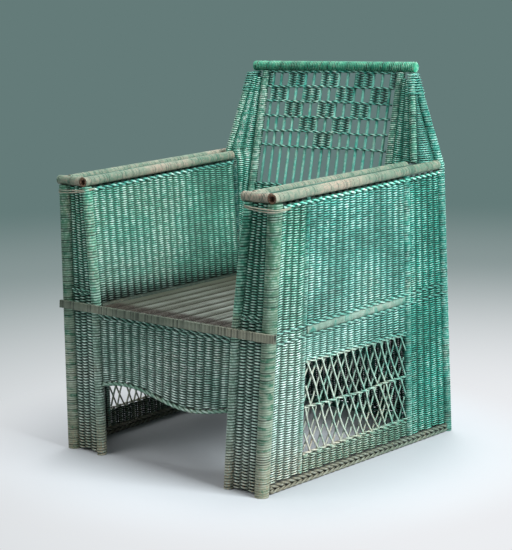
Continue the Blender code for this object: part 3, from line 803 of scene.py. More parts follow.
    def rubbed(self, shades: Shades, signs: Signs, colour: bpy.types.NodeSocket) -> bpy.types.NodeSocket:
        """The colour rubbed down to bare reed, in flecks and along the floor."""
        foot = shades.product(
            shades.ramp(signs.height, *self.foot_span),
            self.foot_wear,
            shades.ramp(signs.depth, *self.foot_front_span, 0.15, 1.0),
        )
        worn = shades.total(
            foot,
            shades.ramp(signs.patch, 0.54, 0.66, 0.0, self.bare_share),
            shades.ramp(signs.mottle, 0.52, 0.62, 0.0, 0.5 * self.bare_share),
        )
        worn = shades.product(worn, shades.ramp(signs.fleck, 0.40, 0.60))
        return shades.mix(worn, colour, self.bare)

    def soiled_and_shaded(self, shades: Shades, signs: Signs, colour: bpy.types.NodeSocket) -> bpy.types.NodeSocket:
        """The colour darkened with dirt and painted shade where it lies deep and in the grooves of some turns
        of cane, and with painted shade low on a wall just above the seat.
        """
        # Dirt and painted shade: the deeper a place lies among the reeds or turns, the darker it is drawn.
        deep = shades.product(shades.ramp(signs.crest, self.grime_and_shade_start, 0.12), self.grime_and_shade_depth)
        groove = shades.product(
            shades.ramp(signs.tone, 0.40, 0.10),
            shades.ramp(signs.crest, 0.95, 0.45),
            self.dark_turns,
        )
        # Painted shade: darker over the bottom of a wall, just above the seat.
        seat_shade = shades.ramp(signs.height, self.seat_shade_height + self.seat_shade_depth, self.seat_shade_height, 0.0, 0.8)
        return shades.mix(shades.total(deep, groove, seat_shade), colour, self.grime_and_shade)


@dataclass(frozen=True)
class SatOnReed:
    """The seat's reed: paint worn to grey in the middle and to brown along the front edge, and darker between
    the ribs with dirt and painted shade.
    """

    name: str
    dark: Colour = srgb(68, 72, 54)
    grey: Colour = srgb(156, 166, 158)
    brown: Colour = srgb(48, 38, 28)
    grime_and_shade: Colour = srgb(18, 20, 16)
    front: float = -0.345
    front_width: float = 0.055
    middle_span: Span = (0.20, 0.0)
    right_span: Span = (-0.22, 0.02)
    roughness: float = 0.7
    grain: float = 0.0006
    grain_strength: float = 0.35

    def material(self) -> bpy.types.Material:
        """Makes the material, with stripes that run from front to back."""
        shades = Shades(self.name)
        crest = shades.attribute("crest")
        stripe = shades.noise(60.0, 2.0, stretch=(1, 0.06, 1))
        patch = shades.noise(7.0)
        fleck = shades.noise(260.0, 3.0)
        depth = shades.axis(Axis.Y)
        rubbed = shades.product(
            shades.ramp(stripe, 0.34, 0.60, 0.4, 1.0),
            shades.ramp(depth, *self.middle_span),
            shades.ramp(crest, 0.35, 0.95),
            shades.ramp(patch, 0.30, 0.60, 0.45, 1.0),
            shades.ramp(shades.axis(Axis.X), *self.right_span, 0.15, 1.0),
        )
        reed = shades.mix(rubbed, self.dark, self.grey)
        edge = shades.ramp(depth, self.front + self.front_width, self.front + 0.4 * self.front_width)
        edge = shades.product(edge, shades.ramp(fleck, 0.3, 0.6, 0.6, 1.0))
        reed = shades.mix(edge, reed, self.brown)
        # Dirt and painted shade: the deeper a place lies between the ribs, the darker it is drawn.
        reed = shades.mix(shades.ramp(crest, 0.70, 0.12, 0.0, 0.9), reed, self.grime_and_shade)
        return shades.finish(reed, self.roughness, fleck, self.grain_strength, self.grain)


@dataclass(frozen=True)
class EndWood:
    """Bare wood at the cut or broken end of a pole."""

    name: str
    pale: Colour = srgb(140, 106, 80)
    dark: Colour = srgb(44, 30, 22)
    roughness: float = 0.8
    grain: float = 0.0008
    grain_strength: float = 0.5

    def material(self) -> bpy.types.Material:
        """Makes the material, with pores that run into the pole."""
        shades = Shades(self.name)
        pores = shades.noise(900.0, 3.0)
        stain = shades.noise(90.0, 3.0)
        wood = shades.mix(shades.ramp(pores, 0.42, 0.60), self.dark, self.pale)
        wood = shades.mix(shades.ramp(stain, 0.45, 0.65, 0.0, 0.7), wood, self.dark)
        return shades.finish(wood, self.roughness, pores, self.grain_strength, self.grain)


class Finishes:
    """The chair's finishes, each made once."""

    def __init__(self) -> None:
        """Makes the materials."""
        self.walls = AgedPaint("painted_reed", fade=0.12).material()
        self.rear_walls = AgedPaint(
            "rear_reed", deep=srgb(0, 100, 84), clear=srgb(0, 176, 152), chalk_and_highlight_share=1.0, least_chalk_and_highlight=0.3,
            rear_shade=0.75, rear_chalk_and_highlight=0.45, grime_and_shade_start=0.95, grime_and_shade_depth=0.98).material()
        # Front faces: fuller painted highlight on the crests and darker painted shade in the gaps than the
        # other walls, because the lamps light the front flatly.
        self.front = AgedPaint(
            "front_reed", deep=srgb(0, 100, 76), clear=srgb(52, 172, 142), faded=srgb(154, 180, 168),
            chalk_and_highlight=srgb(228, 246, 238), chalk_and_highlight_share=1.0, least_chalk_and_highlight=0.7, top_chalk_and_highlight=0.65, grime_and_shade_start=0.97,
            grime_and_shade_depth=0.98).material()
        self.sill = AgedPaint(
            "sill_reed", deep=srgb(30, 100, 82), clear=srgb(92, 156, 134), faded=srgb(118, 146, 126),
            blotch=0.4, chalk_and_highlight_share=0.6, bare_share=0.35, foot_wear=0.55, grime_and_shade_start=0.95,
            grime_and_shade_depth=0.98).material()
        # The inner arm walls get painted shade over their bottom, just above the seat.
        self.arm_walls = AgedPaint(
            "arm_reed", deep=srgb(0, 100, 78), clear=srgb(42, 168, 138), faded=srgb(148, 178, 166),
            fade=0.12, chalk_and_highlight=srgb(210, 236, 226), rear_shade=0.8, rear_chalk_and_highlight=0.6,
            seat_shade_height=0.385).material()
        # Painted light: brighter paint and fuller painted highlight than the other walls, for the back and the
        # wings' fronts, which only the weak front lamp lights; it also draws painted shade over the bottom of
        # the back, just above the seat.
        self.back = AgedPaint(
            "back_reed", deep=srgb(16, 128, 106), clear=srgb(94, 202, 176), chalk_and_highlight=srgb(222, 244, 234),
            chalk_and_highlight_share=1.0, least_chalk_and_highlight=0.5, rear_shade=1.0, rear_chalk_and_highlight=1.0, grime_and_shade_depth=0.97,
            seat_shade_height=0.375).material()
        self.open_work = AgedPaint(
            "open_reed", deep=srgb(0, 104, 88), clear=srgb(52, 176, 156), faded=srgb(140, 186, 172),
            fade=0.25, blotch=1.0, chalk_and_highlight=srgb(206, 230, 218), chalk_and_highlight_share=0.6, rear_shade=1.0,
            rear_chalk_and_highlight=1.0, grime_and_shade_start=0.92, grime_and_shade_depth=0.97).material()
        self.rods = AgedPaint(
            "rod_reed", deep=srgb(0, 100, 88), clear=srgb(66, 172, 150), faded=srgb(204, 200, 184),
            fade=0.1, blotch=0.6, chalk_and_highlight_share=0.35, bare_share=0.5, bare=srgb(190, 172, 148),
            grime_and_shade_depth=0.7).material()
        self.poles = AgedPaint(
            "painted_cane", deep=srgb(0, 76, 54), clear=srgb(44, 112, 82), faded=srgb(138, 148, 130),
            fade=0.1, chalk_and_highlight_share=0.3, bare_share=0.4, blotch=0.9, blot_stretch=(0.7, 0.7, 3.2),
            bare=srgb(152, 138, 112), grime_and_shade_depth=0.6, dark_turns=0.6).material()
        self.wrapped = AgedPaint(
            "wrapped_reed", deep=srgb(0, 92, 70), clear=srgb(50, 156, 126), faded=srgb(132, 148, 134),
            chalk_and_highlight_share=0.5, least_chalk_and_highlight=0.5, bare_share=0.3, top_chalk_and_highlight=0.65, grime_and_shade_start=0.97,
            grime_and_shade_depth=0.98, dark_turns=0.4).material()
        self.rail = AgedPaint(
            "green_cane", deep=srgb(0, 94, 74), clear=srgb(42, 162, 124), faded=srgb(66, 152, 118),
            fade=0.4, blotch=1.0, chalk_and_highlight_share=0.25, bare_share=0.35, rear_shade=0.9, rear_chalk_and_highlight=1.0,
            grime_and_shade_depth=0.8, dark_turns=0.8).material()
        self.bound = AgedPaint(
            "bound_cane", deep=srgb(0, 92, 78), clear=srgb(18, 156, 136), blotch=0.5, chalk_and_highlight_share=0.5,
            bare_share=0.25, rear_shade=0.65, rear_chalk_and_highlight=0.8, grime_and_shade_start=0.92, grime_and_shade_depth=0.95,
            dark_turns=0.5).material()
        self.wing = AgedPaint(
            "wing_cane", deep=srgb(0, 92, 74), clear=srgb(44, 146, 118), faded=srgb(110, 160, 138),
            fade=0.25, blotch=1.0, chalk_and_highlight=srgb(218, 236, 224), chalk_and_highlight_share=0.8, bare_share=0.15,
            bare=srgb(168, 164, 140), rear_shade=0.75, rear_chalk_and_highlight=0.9, grime_and_shade_start=0.92, grime_and_shade_depth=0.9,
            dark_turns=0.5).material()
        # Painted shade: a darker copy of the green paint for the seat bearers, which lie in shade under the
        # seat.
        self.shaded_under_seat = AgedPaint(
            "shaded_cane", deep=srgb(20, 40, 30), clear=srgb(44, 66, 52), faded=srgb(52, 58, 48),
            chalk_and_highlight_share=0.1).material()
        self.shaded = AgedPaint(
            "shaded_reed", deep=srgb(14, 62, 48), clear=srgb(44, 104, 86), faded=srgb(84, 98, 86),
            chalk_and_highlight_share=0.15).material()
        self.arms = AgedPaint(
            "rubbed_cane", deep=srgb(74, 108, 90), clear=srgb(142, 138, 120), faded=srgb(98, 138, 116),
            fade=0.22, chalk_and_highlight=srgb(190, 186, 172), chalk_and_highlight_share=0.25, bare_share=0.8,
            bare=srgb(172, 148, 132), grime_and_shade_depth=0.8, dark_turns=0.6).material()
        self.band = AgedPaint(
            "rubbed_band", deep=srgb(60, 82, 70), clear=srgb(116, 134, 116), faded=srgb(148, 150, 130),
            fade=0.05, right_fade=0.7, chalk_and_highlight_share=0.25, bare_share=0.3, bare=srgb(134, 112, 90),
            grime_and_shade_depth=0.85, dark_turns=0.6).material()
        self.strip = AgedPaint(
            "pale_strip", deep=srgb(40, 130, 112), clear=srgb(110, 176, 156), faded=srgb(166, 174, 158),
            fade=0.3, blotch=1.0, bare_share=0.4, bare=srgb(188, 168, 152)).material()
        self.border = AgedPaint(
            "trodden_reed", deep=srgb(56, 82, 70), clear=srgb(104, 122, 106), faded=srgb(114, 114, 98),
            fade=0.1, chalk_and_highlight_share=0.3, bare_share=0.4, foot_wear=0.4,
            bare=srgb(132, 112, 90)).material()
        self.seat = SatOnReed("sat_on_reed").material()
        self.ends = EndWood("end_wood").material()


@dataclass(frozen=True)
class Winding:
    """How cane lies on a pole: the height of a turn, the depth of its grooves and the cuts in its edge."""

    turn: float = 0.0044
    relief: float = 0.0006
    profile_cuts: int = 2


@dataclass
class WoundPole:
    """A pole bound with flat cane from end to end."""

    node: str
    axis: Axis
    winding: Winding = Winding()
    leaning: bool = False
    near_end: PoleEnd = PoleEnd.CUT
    far_end: PoleEnd = PoleEnd.CUT
    steps: int = 14
    spare_turns: int = 2
    groove_crest: float = 0.3
    end_facing: float = 0.99
    rim: float = 0.0045
    hollow: float = 0.010

    def build(self, cane: bpy.types.Material, ends: bpy.types.Material) -> bpy.types.Object:
        """Winds the cane and lays the pole in its place.

        Args:
            cane: Finish of the winding.
            ends: Finish of the two ends.

        Returns:
            The finished pole.
        """
        cad = Node(self.node)
        centres = cad.rings(self.axis)
        radius = cad.ring_radius(self.axis)
        if self.leaning:
            length = float(np.linalg.norm(centres[-1] - centres[0]))
        else:
            length = float(np.ptp(centres[:, self.axis.value]))
        pole = self.wind(radius, length)
        pole.name = pole.data.name = f"pole_{self.node}"
        pole.data.materials.append(cane)
        pole.data.materials.append(ends)
        self.wear_and_shade(pole, radius)
        self.finish_end(pole, -1, self.near_end)
        self.finish_end(pole, 1, self.far_end)
        self.lay(pole, centres)
        bpy.ops.object.shade_smooth_by_angle(angle=POLE_SMOOTHING)
        return pole

    def wind(self, radius: float, length: float) -> bpy.types.Object:
        """One turn's edge screwed up a straight pole on Z and trimmed at both ends.

        Args:
            radius: The pole's radius on the crest of a turn.
            length: The pole's length.

        Returns:
            The straight pole, with its foot on the origin.
        """
        turn, relief = self.winding.turn, self.winding.relief
        deselect()
        bpy.ops.mesh.primitive_plane_add(size=1)
        pole = bpy.context.object
        choose(pole, lambda place: place.x < 0)
        bpy.ops.mesh.delete(type="VERT")
        bpy.ops.mesh.select_all(action="SELECT")
        bpy.ops.mesh.subdivide(number_cuts=self.winding.profile_cuts)
        bpy.ops.object.mode_set(mode="OBJECT")
        for vert in pole.data.vertices:
            share = vert.co.y + 0.5
            swell = math.sin(math.pi * share) ** 0.5
            vert.co = (radius - relief * (1 - swell), 0, (share - 1) * turn)
        bpy.ops.object.modifier_add(type="SCREW")
        screw = pole.modifiers[-1]
        screw.steps = screw.render_steps = self.steps
        screw.screw_offset = turn
        screw.iterations = math.ceil(length / turn) + self.spare_turns
        screw.use_merge_vertices = False
        bpy.ops.object.modifier_apply(modifier=screw.name)
        bpy.ops.object.mode_set(mode="EDIT")
        bpy.ops.mesh.select_all(action="SELECT")
        bpy.ops.mesh.remove_doubles(threshold=1e-6)
        for z, way in ((turn, -1), (turn + length, 1)):
            bpy.ops.mesh.select_all(action="SELECT")
            bpy.ops.mesh.bisect(plane_co=(0, 0, z), plane_no=(0, 0, way), use_fill=True, clear_outer=True)
        bpy.ops.mesh.select_all(action="SELECT")
        bpy.ops.mesh.normals_make_consistent(inside=False)
        bpy.ops.transform.translate(value=(0, 0, -turn))
        bpy.ops.object.mode_set(mode="OBJECT")
        return pole

    def wear_and_shade(self, pole: bpy.types.Object, radius: float) -> None:
        """Keeps at each vertex how far it stands out of the groove, which the finishes draw darker with dirt
        and painted shade, and the shade of its turn.
        """
        rng = dice(self.node)
        turn, relief = self.winding.turn, self.winding.relief
        places = places_of(pole.data)
        out = np.hypot(places[:, 0], places[:, 1])
        angle = np.arctan2(places[:, 1], places[:, 0]) / TURN
        turns = np.floor(places[:, 2] / turn - angle + 0.5).astype(int)
        tones = rng.random(turns.max() - turns.min() + 1)[turns - turns.min()]
        groove = self.groove_crest
        crest = np.clip(groove + (1 - groove) * (out - radius + relief) / relief, 0, 1)
        keep_wear_and_shade(pole.data, crest, tones)

    def finish_end(self, pole: bpy.types.Object, way: int, end: PoleEnd) -> None:
        """Dresses one flat end, and opens it where the pith is gone.

        Args:
            pole: The straight pole.
            way: 1 for the upper end, -1 for the lower.
            end: How that end looks.
        """
        deselect()
        pole.select_set(True)
        bpy.context.view_layer.objects.active = pole
        corners = max(len(face.vertices) for face in pole.data.polygons)
        for vert in pole.data.vertices:
            vert.select = False
        for edge in pole.data.edges:
            edge.select = False
        for face in pole.data.polygons:
            face.select = face.normal.z * way > self.end_facing and len(face.vertices) > corners // 2
            if face.select:
                face.material_index = 1
        if end is PoleEnd.CUT:
            return
        bpy.ops.object.mode_set(mode="EDIT")
        bpy.ops.mesh.select_mode(type="FACE")
        bpy.ops.mesh.inset(thickness=self.rim)
        bpy.ops.mesh.extrude_region_move(TRANSFORM_OT_translate={"value": (0, 0, -way * self.hollow)})
        bpy.ops.mesh.select_mode(type="VERT")
        bpy.ops.object.mode_set(mode="OBJECT")

    def lay(self, pole: bpy.types.Object, centres: Array) -> None:
        """Moves the straight pole's mesh to its place between the CAD pole's ring centres."""
        mesh = pole.data
        if self.leaning:
            way = Vector(centres[-1] - centres[0])
            turn = way.to_track_quat("Z", "Y").to_matrix().to_4x4()
            mesh.transform(Matrix.Translation(centres[0]) @ turn)
            return
        main = self.axis.value
        places = np.roll(places_of(mesh), (main + 1) % 3, axis=1)
        places[:, main] += centres[0, main]
        for i in range(3):
            if i != main:
                places[:, i] += np.interp(places[:, main], centres[:, main], centres[:, i])
        mesh.vertices.foreach_set("co", places.ravel())
        mesh.update()


@dataclass
class BoundBand:
    """A flat bar on edge, bound all along with cane."""

    node: str
    axis: Axis
    turn: float = 0.0044
    height: float = 0.020
    thickness: float = 0.009
    edge: float = 0.0013
    cane_share: float = 0.97
    stray: float = 0.0008
    slant: float = 0.06
    groove_depth: float = 0.75

    def build(self, cane: bpy.types.Material) -> bpy.types.Object:
        """Makes one turn of the binding, repeats it and lays the band in its place.

        Args:
            cane: Finish of the binding.

        Returns:
            The finished band.
        """
        ends = Node(self.node).rings(self.axis)
        way = Vector(ends[-1] - ends[0])
        count = round(way.length / self.turn)
        turn = way.length / count
        band = self.one_turn(turn)
        verts_per_turn = len(band.data.vertices)
        bpy.ops.object.modifier_add(type="ARRAY")
        row = band.modifiers[-1]
        row.count = count
        row.use_relative_offset = False
        row.use_constant_offset = True
        row.constant_offset_displace = (turn, 0, 0)
        bpy.ops.object.modifier_apply(modifier=row.name)
        mesh = band.data
        self.wear_and_shade(mesh, turn, np.arange(len(mesh.vertices)) // verts_per_turn)
        along = way.normalized()
        out = along.cross(Vector((0, 0, 1))).normalized()
        turned = Matrix((along, -out, along.cross(-out))).transposed().to_4x4()
        mesh.transform(Matrix.Translation(ends[0]) @ turned)
        mesh.materials.append(cane)
        bpy.ops.object.shade_smooth_by_angle(angle=BAND_SMOOTHING)
        return band

    def one_turn(self, turn: float) -> bpy.types.Object:
        """One turn of cane with rounded edges, on the origin."""
        deselect()
        bpy.ops.mesh.primitive_cube_add(size=1)
        band = bpy.context.object
        band.name = band.data.name = f"band_{self.node}"
        band.scale = (turn * self.cane_share, self.thickness, self.height)
        bpy.ops.object.transform_apply(location=False, rotation=False, scale=True)
        bpy.ops.object.mode_set(mode="EDIT")
        bpy.ops.mesh.select_all(action="SELECT")
        bpy.ops.mesh.bevel(offset=self.edge, segments=2, affect="EDGES")
        bpy.ops.object.mode_set(mode="OBJECT")
        return band

    def wear_and_shade(self, mesh: bpy.types.Mesh, turn: float, which: Array) -> None:
        """Sets the turns a little askew and keeps their shades and how far each vertex stands out, which the
        finishes draw darker between the turns with dirt and painted shade.

        Args:
            mesh: The mesh of all the turns, which is changed.
            turn: The length of one turn.
            which: The turn that each vertex belongs to.
        """
        rng = dice(self.node)
        count = which[-1] + 1
        places = places_of(mesh)
        places[:, 2] += (rng.random(count)[which] - 0.5) * self.stray
        places[:, 0] += places[:, 2] * self.slant + turn / 2
        crest = 1 - self.groove_depth * np.abs(places[:, 0] - (which + 0.5) * turn) / (turn / 2)
        mesh.vertices.foreach_set("co", places.ravel())
        keep_wear_and_shade(mesh, np.clip(crest, 0, 1), rng.random(count)[which])


@dataclass
class Poles:
    """All the poles and bound bands of the frame, with the windings of those that are bound coarsely."""

    finishes: Finishes
    corner: Winding = Winding(turn=0.0058, relief=0.0008)
    inner: Winding = Winding(turn=0.0068, relief=0.0022, profile_cuts=3)
    side: Winding = Winding(turn=0.0060, relief=0.0018)
    wing: Winding = Winding(turn=0.0062, relief=0.0017)
    back: Winding = Winding(turn=0.0052, relief=0.0010)
    top: Winding = Winding(turn=0.0056, relief=0.0013)

    def build(self) -> None:
        """Builds each pole and hands it in."""
        paint, bound = self.finishes.poles, self.finishes.bound
        hollow = PoleEnd.HOLLOW
        for tag in SIDES:
            self.pole(WoundPole(f"front_corner_post_{tag}", Axis.Z, self.corner), paint, Slot.POLE)
            inner = WoundPole(f"front_inner_post_{tag}", Axis.Z, self.inner)
            self.pole(inner, self.finishes.wrapped, Slot.POLE)
            for name in ("side_post_front", "side_post_rear", "rear_post"):
                self.pole(WoundPole(f"{name}_{tag}", Axis.Z, self.side), bound, Slot.POLE)
            for name, winding in (("wing_post", self.wing), ("back_post", self.back)):
                raked = WoundPole(f"{name}_{tag}", Axis.Z, winding, leaning=True)
                self.pole(raked, self.finishes.wing, Slot.POLE)
            for name in ("arm_rail_outer", "arm_rail_inner"):
                rail = WoundPole(f"{name}_{tag}", Axis.Y, near_end=hollow)
                self.pole(rail, self.finishes.arms, Slot.WORN)
            cross = WoundPole(f"arm_front_rail_{tag}", Axis.X, near_end=hollow, far_end=hollow)
            self.pole(cross, self.finishes.arms, Slot.WORN)
            self.pole(WoundPole(f"seat_bearer_{tag}", Axis.Y), self.finishes.shaded_under_seat, Slot.POLE)
            self.band(BoundBand(f"seat_rail_side_{tag}", Axis.Y), self.finishes.strip)
        self.pole(WoundPole("top_rail", Axis.X, self.top), self.finishes.rail, Slot.POLE)
        self.pole(WoundPole("seat_rail_rear", Axis.X), paint, Slot.POLE)
        self.band(BoundBand("seat_rail_front", Axis.X), self.finishes.band)

    def pole(self, pole: WoundPole, cane: bpy.types.Material, slot: Slot) -> None:
        """Builds a pole and hands it in."""
        ends = self.finishes.ends if pole.near_end is PoleEnd.HOLLOW else cane
        hand_in(pole.build(cane, ends), slot, pole.node)

    def band(self, band: BoundBand, cane: bpy.types.Material) -> None:
        """Builds a bound band and hands it in."""
        hand_in(band.build(cane), Slot.POLE, band.node)


@dataclass
class SideWall:
    """One outer side: woven walls round a lattice window, a twisted row under the arm, a border below."""

    tag: str
    finishes: Finishes
    weave: Weave = Weave()
    row: Twist = Twist(points_across=30)
    braid: Twist = Twist(radius=0.0025, swing=0.0025, turn=0.046)
    border: Twist = Twist(radius=0.0031, swing=0.0034, turn=0.060, strands=3)
    braid_room: float = 0.004
    braid_drop: float = 0.0075
    braid_lift: float = 0.0065
    rod: float = 0.0024
    rod_lift: float = 0.0022
    rod_pitch: float = 0.0295
    rod_lean: float = 0.47
    rod_bow: float = 0.0042
    rod_stray: float = 0.0022
    rod_crest: float = 0.6
    rod_points: int = 14
    rod_least_points: int = 3
    rod_thickness: Span = (0.9, 1.1)
    rod_tones: Span = (0.4, 1.0)
    upper_rows: tuple[float, ...] = (0.012,)
    head_rows: tuple[float, ...] = (0.04, 0.93)
    sill_rows: tuple[float, ...] = (0.90,)
    window_rows: tuple[float, ...] = (0.012, 0.5, 0.988)
    window_middle: float = 0.5
    window_sway: float = 0.004
    window_points: int = 40
    rope_points: int = 12
    border_step: float = 0.0057
    border_lift: float = 0.005
    rope_step: float = 0.0125
    rope_end: float = 0.045

    def outward(self) -> Array:
        """The way out of the chair on this side."""
        return np.array([1.0 if self.tag == "r" else -1.0, 0, 0])

    def build(self) -> None:
        """Builds the side and hands its pieces in."""
        self.woven("side_stile_front", top_room=self.braid_room)
        self.woven("side_stile_rear", top_room=self.braid_room)
        self.woven("side_upper", top_room=self.braid_room, rows_at=self.upper_rows)
        self.woven("window_head", rows_at=self.head_rows)
        self.woven("window_sill", rows_at=self.sill_rows)
        self.lattice()
        self.arm_braid()
        self.band_ropes()
        self.floor_border()

    def woven(self, name: str, top_room: float = 0.0, rows_at: tuple[float, ...] = ()) -> None:
        """Weaves one wall.

        Args:
            name: The CAD node, without its side.
            top_room: Height left free at the top.
            rows_at: Shares of the height where a twisted row lies on the weave.
        """
        node = f"{name}_{self.tag}"
        rng = dice(node)
        wall = Wall.between(node, Axis.Y, Axis.Z)
        reeds = Reeds(f"weave_{node}")
        self.weave.fill(reeds, wall, rng, high=1 - top_room / wall.height(), outside=self.outward())
        self.row.across(reeds, wall, rows_at, self.outward(), self.weave.swing, rng)
        special = {"side_stile_front": self.finishes.front, "side_stile_rear": self.finishes.rear_walls,
                   "window_sill": self.finishes.sill}
        hand_in(reeds.build(special.get(name, self.finishes.walls)), Slot.REED, node)

    def lattice(self) -> None:
        """Two bands of rods that cross, and the twisted row between them."""
        node = f"lattice_{self.tag}"
        rng = dice(node)
        wall = Wall.between(node, Axis.Y, Axis.Z)
        width, height = wall.width(), wall.height()
        rods = round(width / self.rod_pitch)
        pitch = width / rods
        reeds = Reeds(f"window_{node}")
        for low, high in ((0.0, height / 2), (height / 2, height)):
            lean = self.rod_lean * (high - low)
            for way, lift in ((-1, self.rod_lift), (1, -self.rod_lift)):
                first = -math.ceil(lean / pitch) if way > 0 else 0
                for i in range(first, first + rods + math.ceil(lean / pitch) + 1):
                    begin = i * pitch + rng.normal(0, self.rod_stray)
                    self.lattice_rod(reeds, wall, rng, begin, way * lean, low, high, lift)
        u = np.linspace(0, 1, self.window_points)
        sway = self.window_sway * drift(rng, u, 1.0) / height
        for share in self.window_rows:
            v = share + sway * (share == self.window_middle)
            self.row.lay(reeds, wall.at(u, v) + self.outward() * self.rod_lift, self.outward(), rng)
        hand_in(reeds.build(self.finishes.rods), Slot.REED, node)

    def lattice_rod(self, reeds: Reeds, wall: Wall, rng: np.random.Generator, begin: float, lean: float,
                    low: float, high: float, lift: float) -> None:
        """One leaning rod, cut where it meets the window's sides.

        Args:
            reeds: Where the rod is added.
            wall: The window's surface.
            rng: Where its bow is drawn.
            begin: Where it starts along the window at the bottom of its band.
            lean: How far it leans along the window on its way up.
            low: Height of the band's foot over the sill.
            high: Height of the band's head over the sill.
            lift: How far it lies out of the window's middle.
        """
        share = np.linspace(0, 1, self.rod_points)
        across = begin + lean * share + rng.normal(0, self.rod_bow) * np.sin(math.pi * share)
        inside = (across > 0) & (across < wall.width())
        if inside.sum() < self.rod_least_points:
            return
        u = across[inside] / wall.width()
        v = (low + (high - low) * share[inside]) / wall.height()
        line = wall.at(u, v) + self.outward() * lift
        radius = self.rod * rng.uniform(*self.rod_thickness)
        tone = rng.uniform(*self.rod_tones)
        reeds.add(line, self.outward(), radius, lift, self.rod * self.rod_crest, tone)

    def arm_braid(self) -> None:
        """The thick twisted row that runs along the whole side under the arm."""
        front = Wall.between(f"side_stile_front_{self.tag}", Axis.Y, Axis.Z).grid[1, 0]
        rear = Wall.between(f"side_stile_rear_{self.tag}", Axis.Y, Axis.Z).grid[1, 1]
        name = f"braid_side_{self.tag}"
        reeds = Reeds(name, corners=6)
        shift = self.outward() * self.braid_lift - np.array([0, 0, self.braid_drop])
        self.braid.lay(reeds, np.array([front, rear]) + shift, self.outward(), dice(name))
        hand_in(reeds.build(self.finishes.back), Slot.REED)

    def band_ropes(self) -> None:
        """Two twisted rows along the seat band, from the corner post to the rear post."""
        band = Node(f"seat_rail_side_{self.tag}").rings(Axis.Y)
        first = Node(f"side_stile_front_{self.tag}").points()[:, 1].min()
        last = Node(f"rear_post_{self.tag}").points()[:, 1].max() - self.rope_end
        name = f"rope_side_{self.tag}"
        reeds = Reeds(name)
        rng = dice(name)
        y = np.linspace(first, last, self.rope_points)
        share = (y - band[0, 1]) / (band[-1, 1] - band[0, 1])
        line = band[0] + (band[-1] - band[0]) * share[:, None]
        for step in (self.rope_step, -self.rope_step):
            shift = self.outward() * self.braid_lift + np.array([0, 0, step])
            self.row.lay(reeds, line + shift, self.outward(), rng)
        hand_in(reeds.build(self.finishes.walls), Slot.REED)

    def floor_border(self) -> None:
        """The two-rope border along the floor."""
        node = f"side_border_{self.tag}"
        line = Node(node).rings(Axis.Y)
        reeds = Reeds(f"braid_{node}", corners=6)
        rng = dice(node)
        for step, way in ((self.border_step, 1), (-self.border_step, -1)):
            rope = Twist(self.border.radius, self.border.swing, way * self.border.turn, self.border.strands)
            shift = np.array([0, 0, step]) + self.outward() * self.border_lift
            rope.lay(reeds, line + shift, self.outward(), rng)
        hand_in(reeds.build(self.finishes.border), Slot.REED, node)


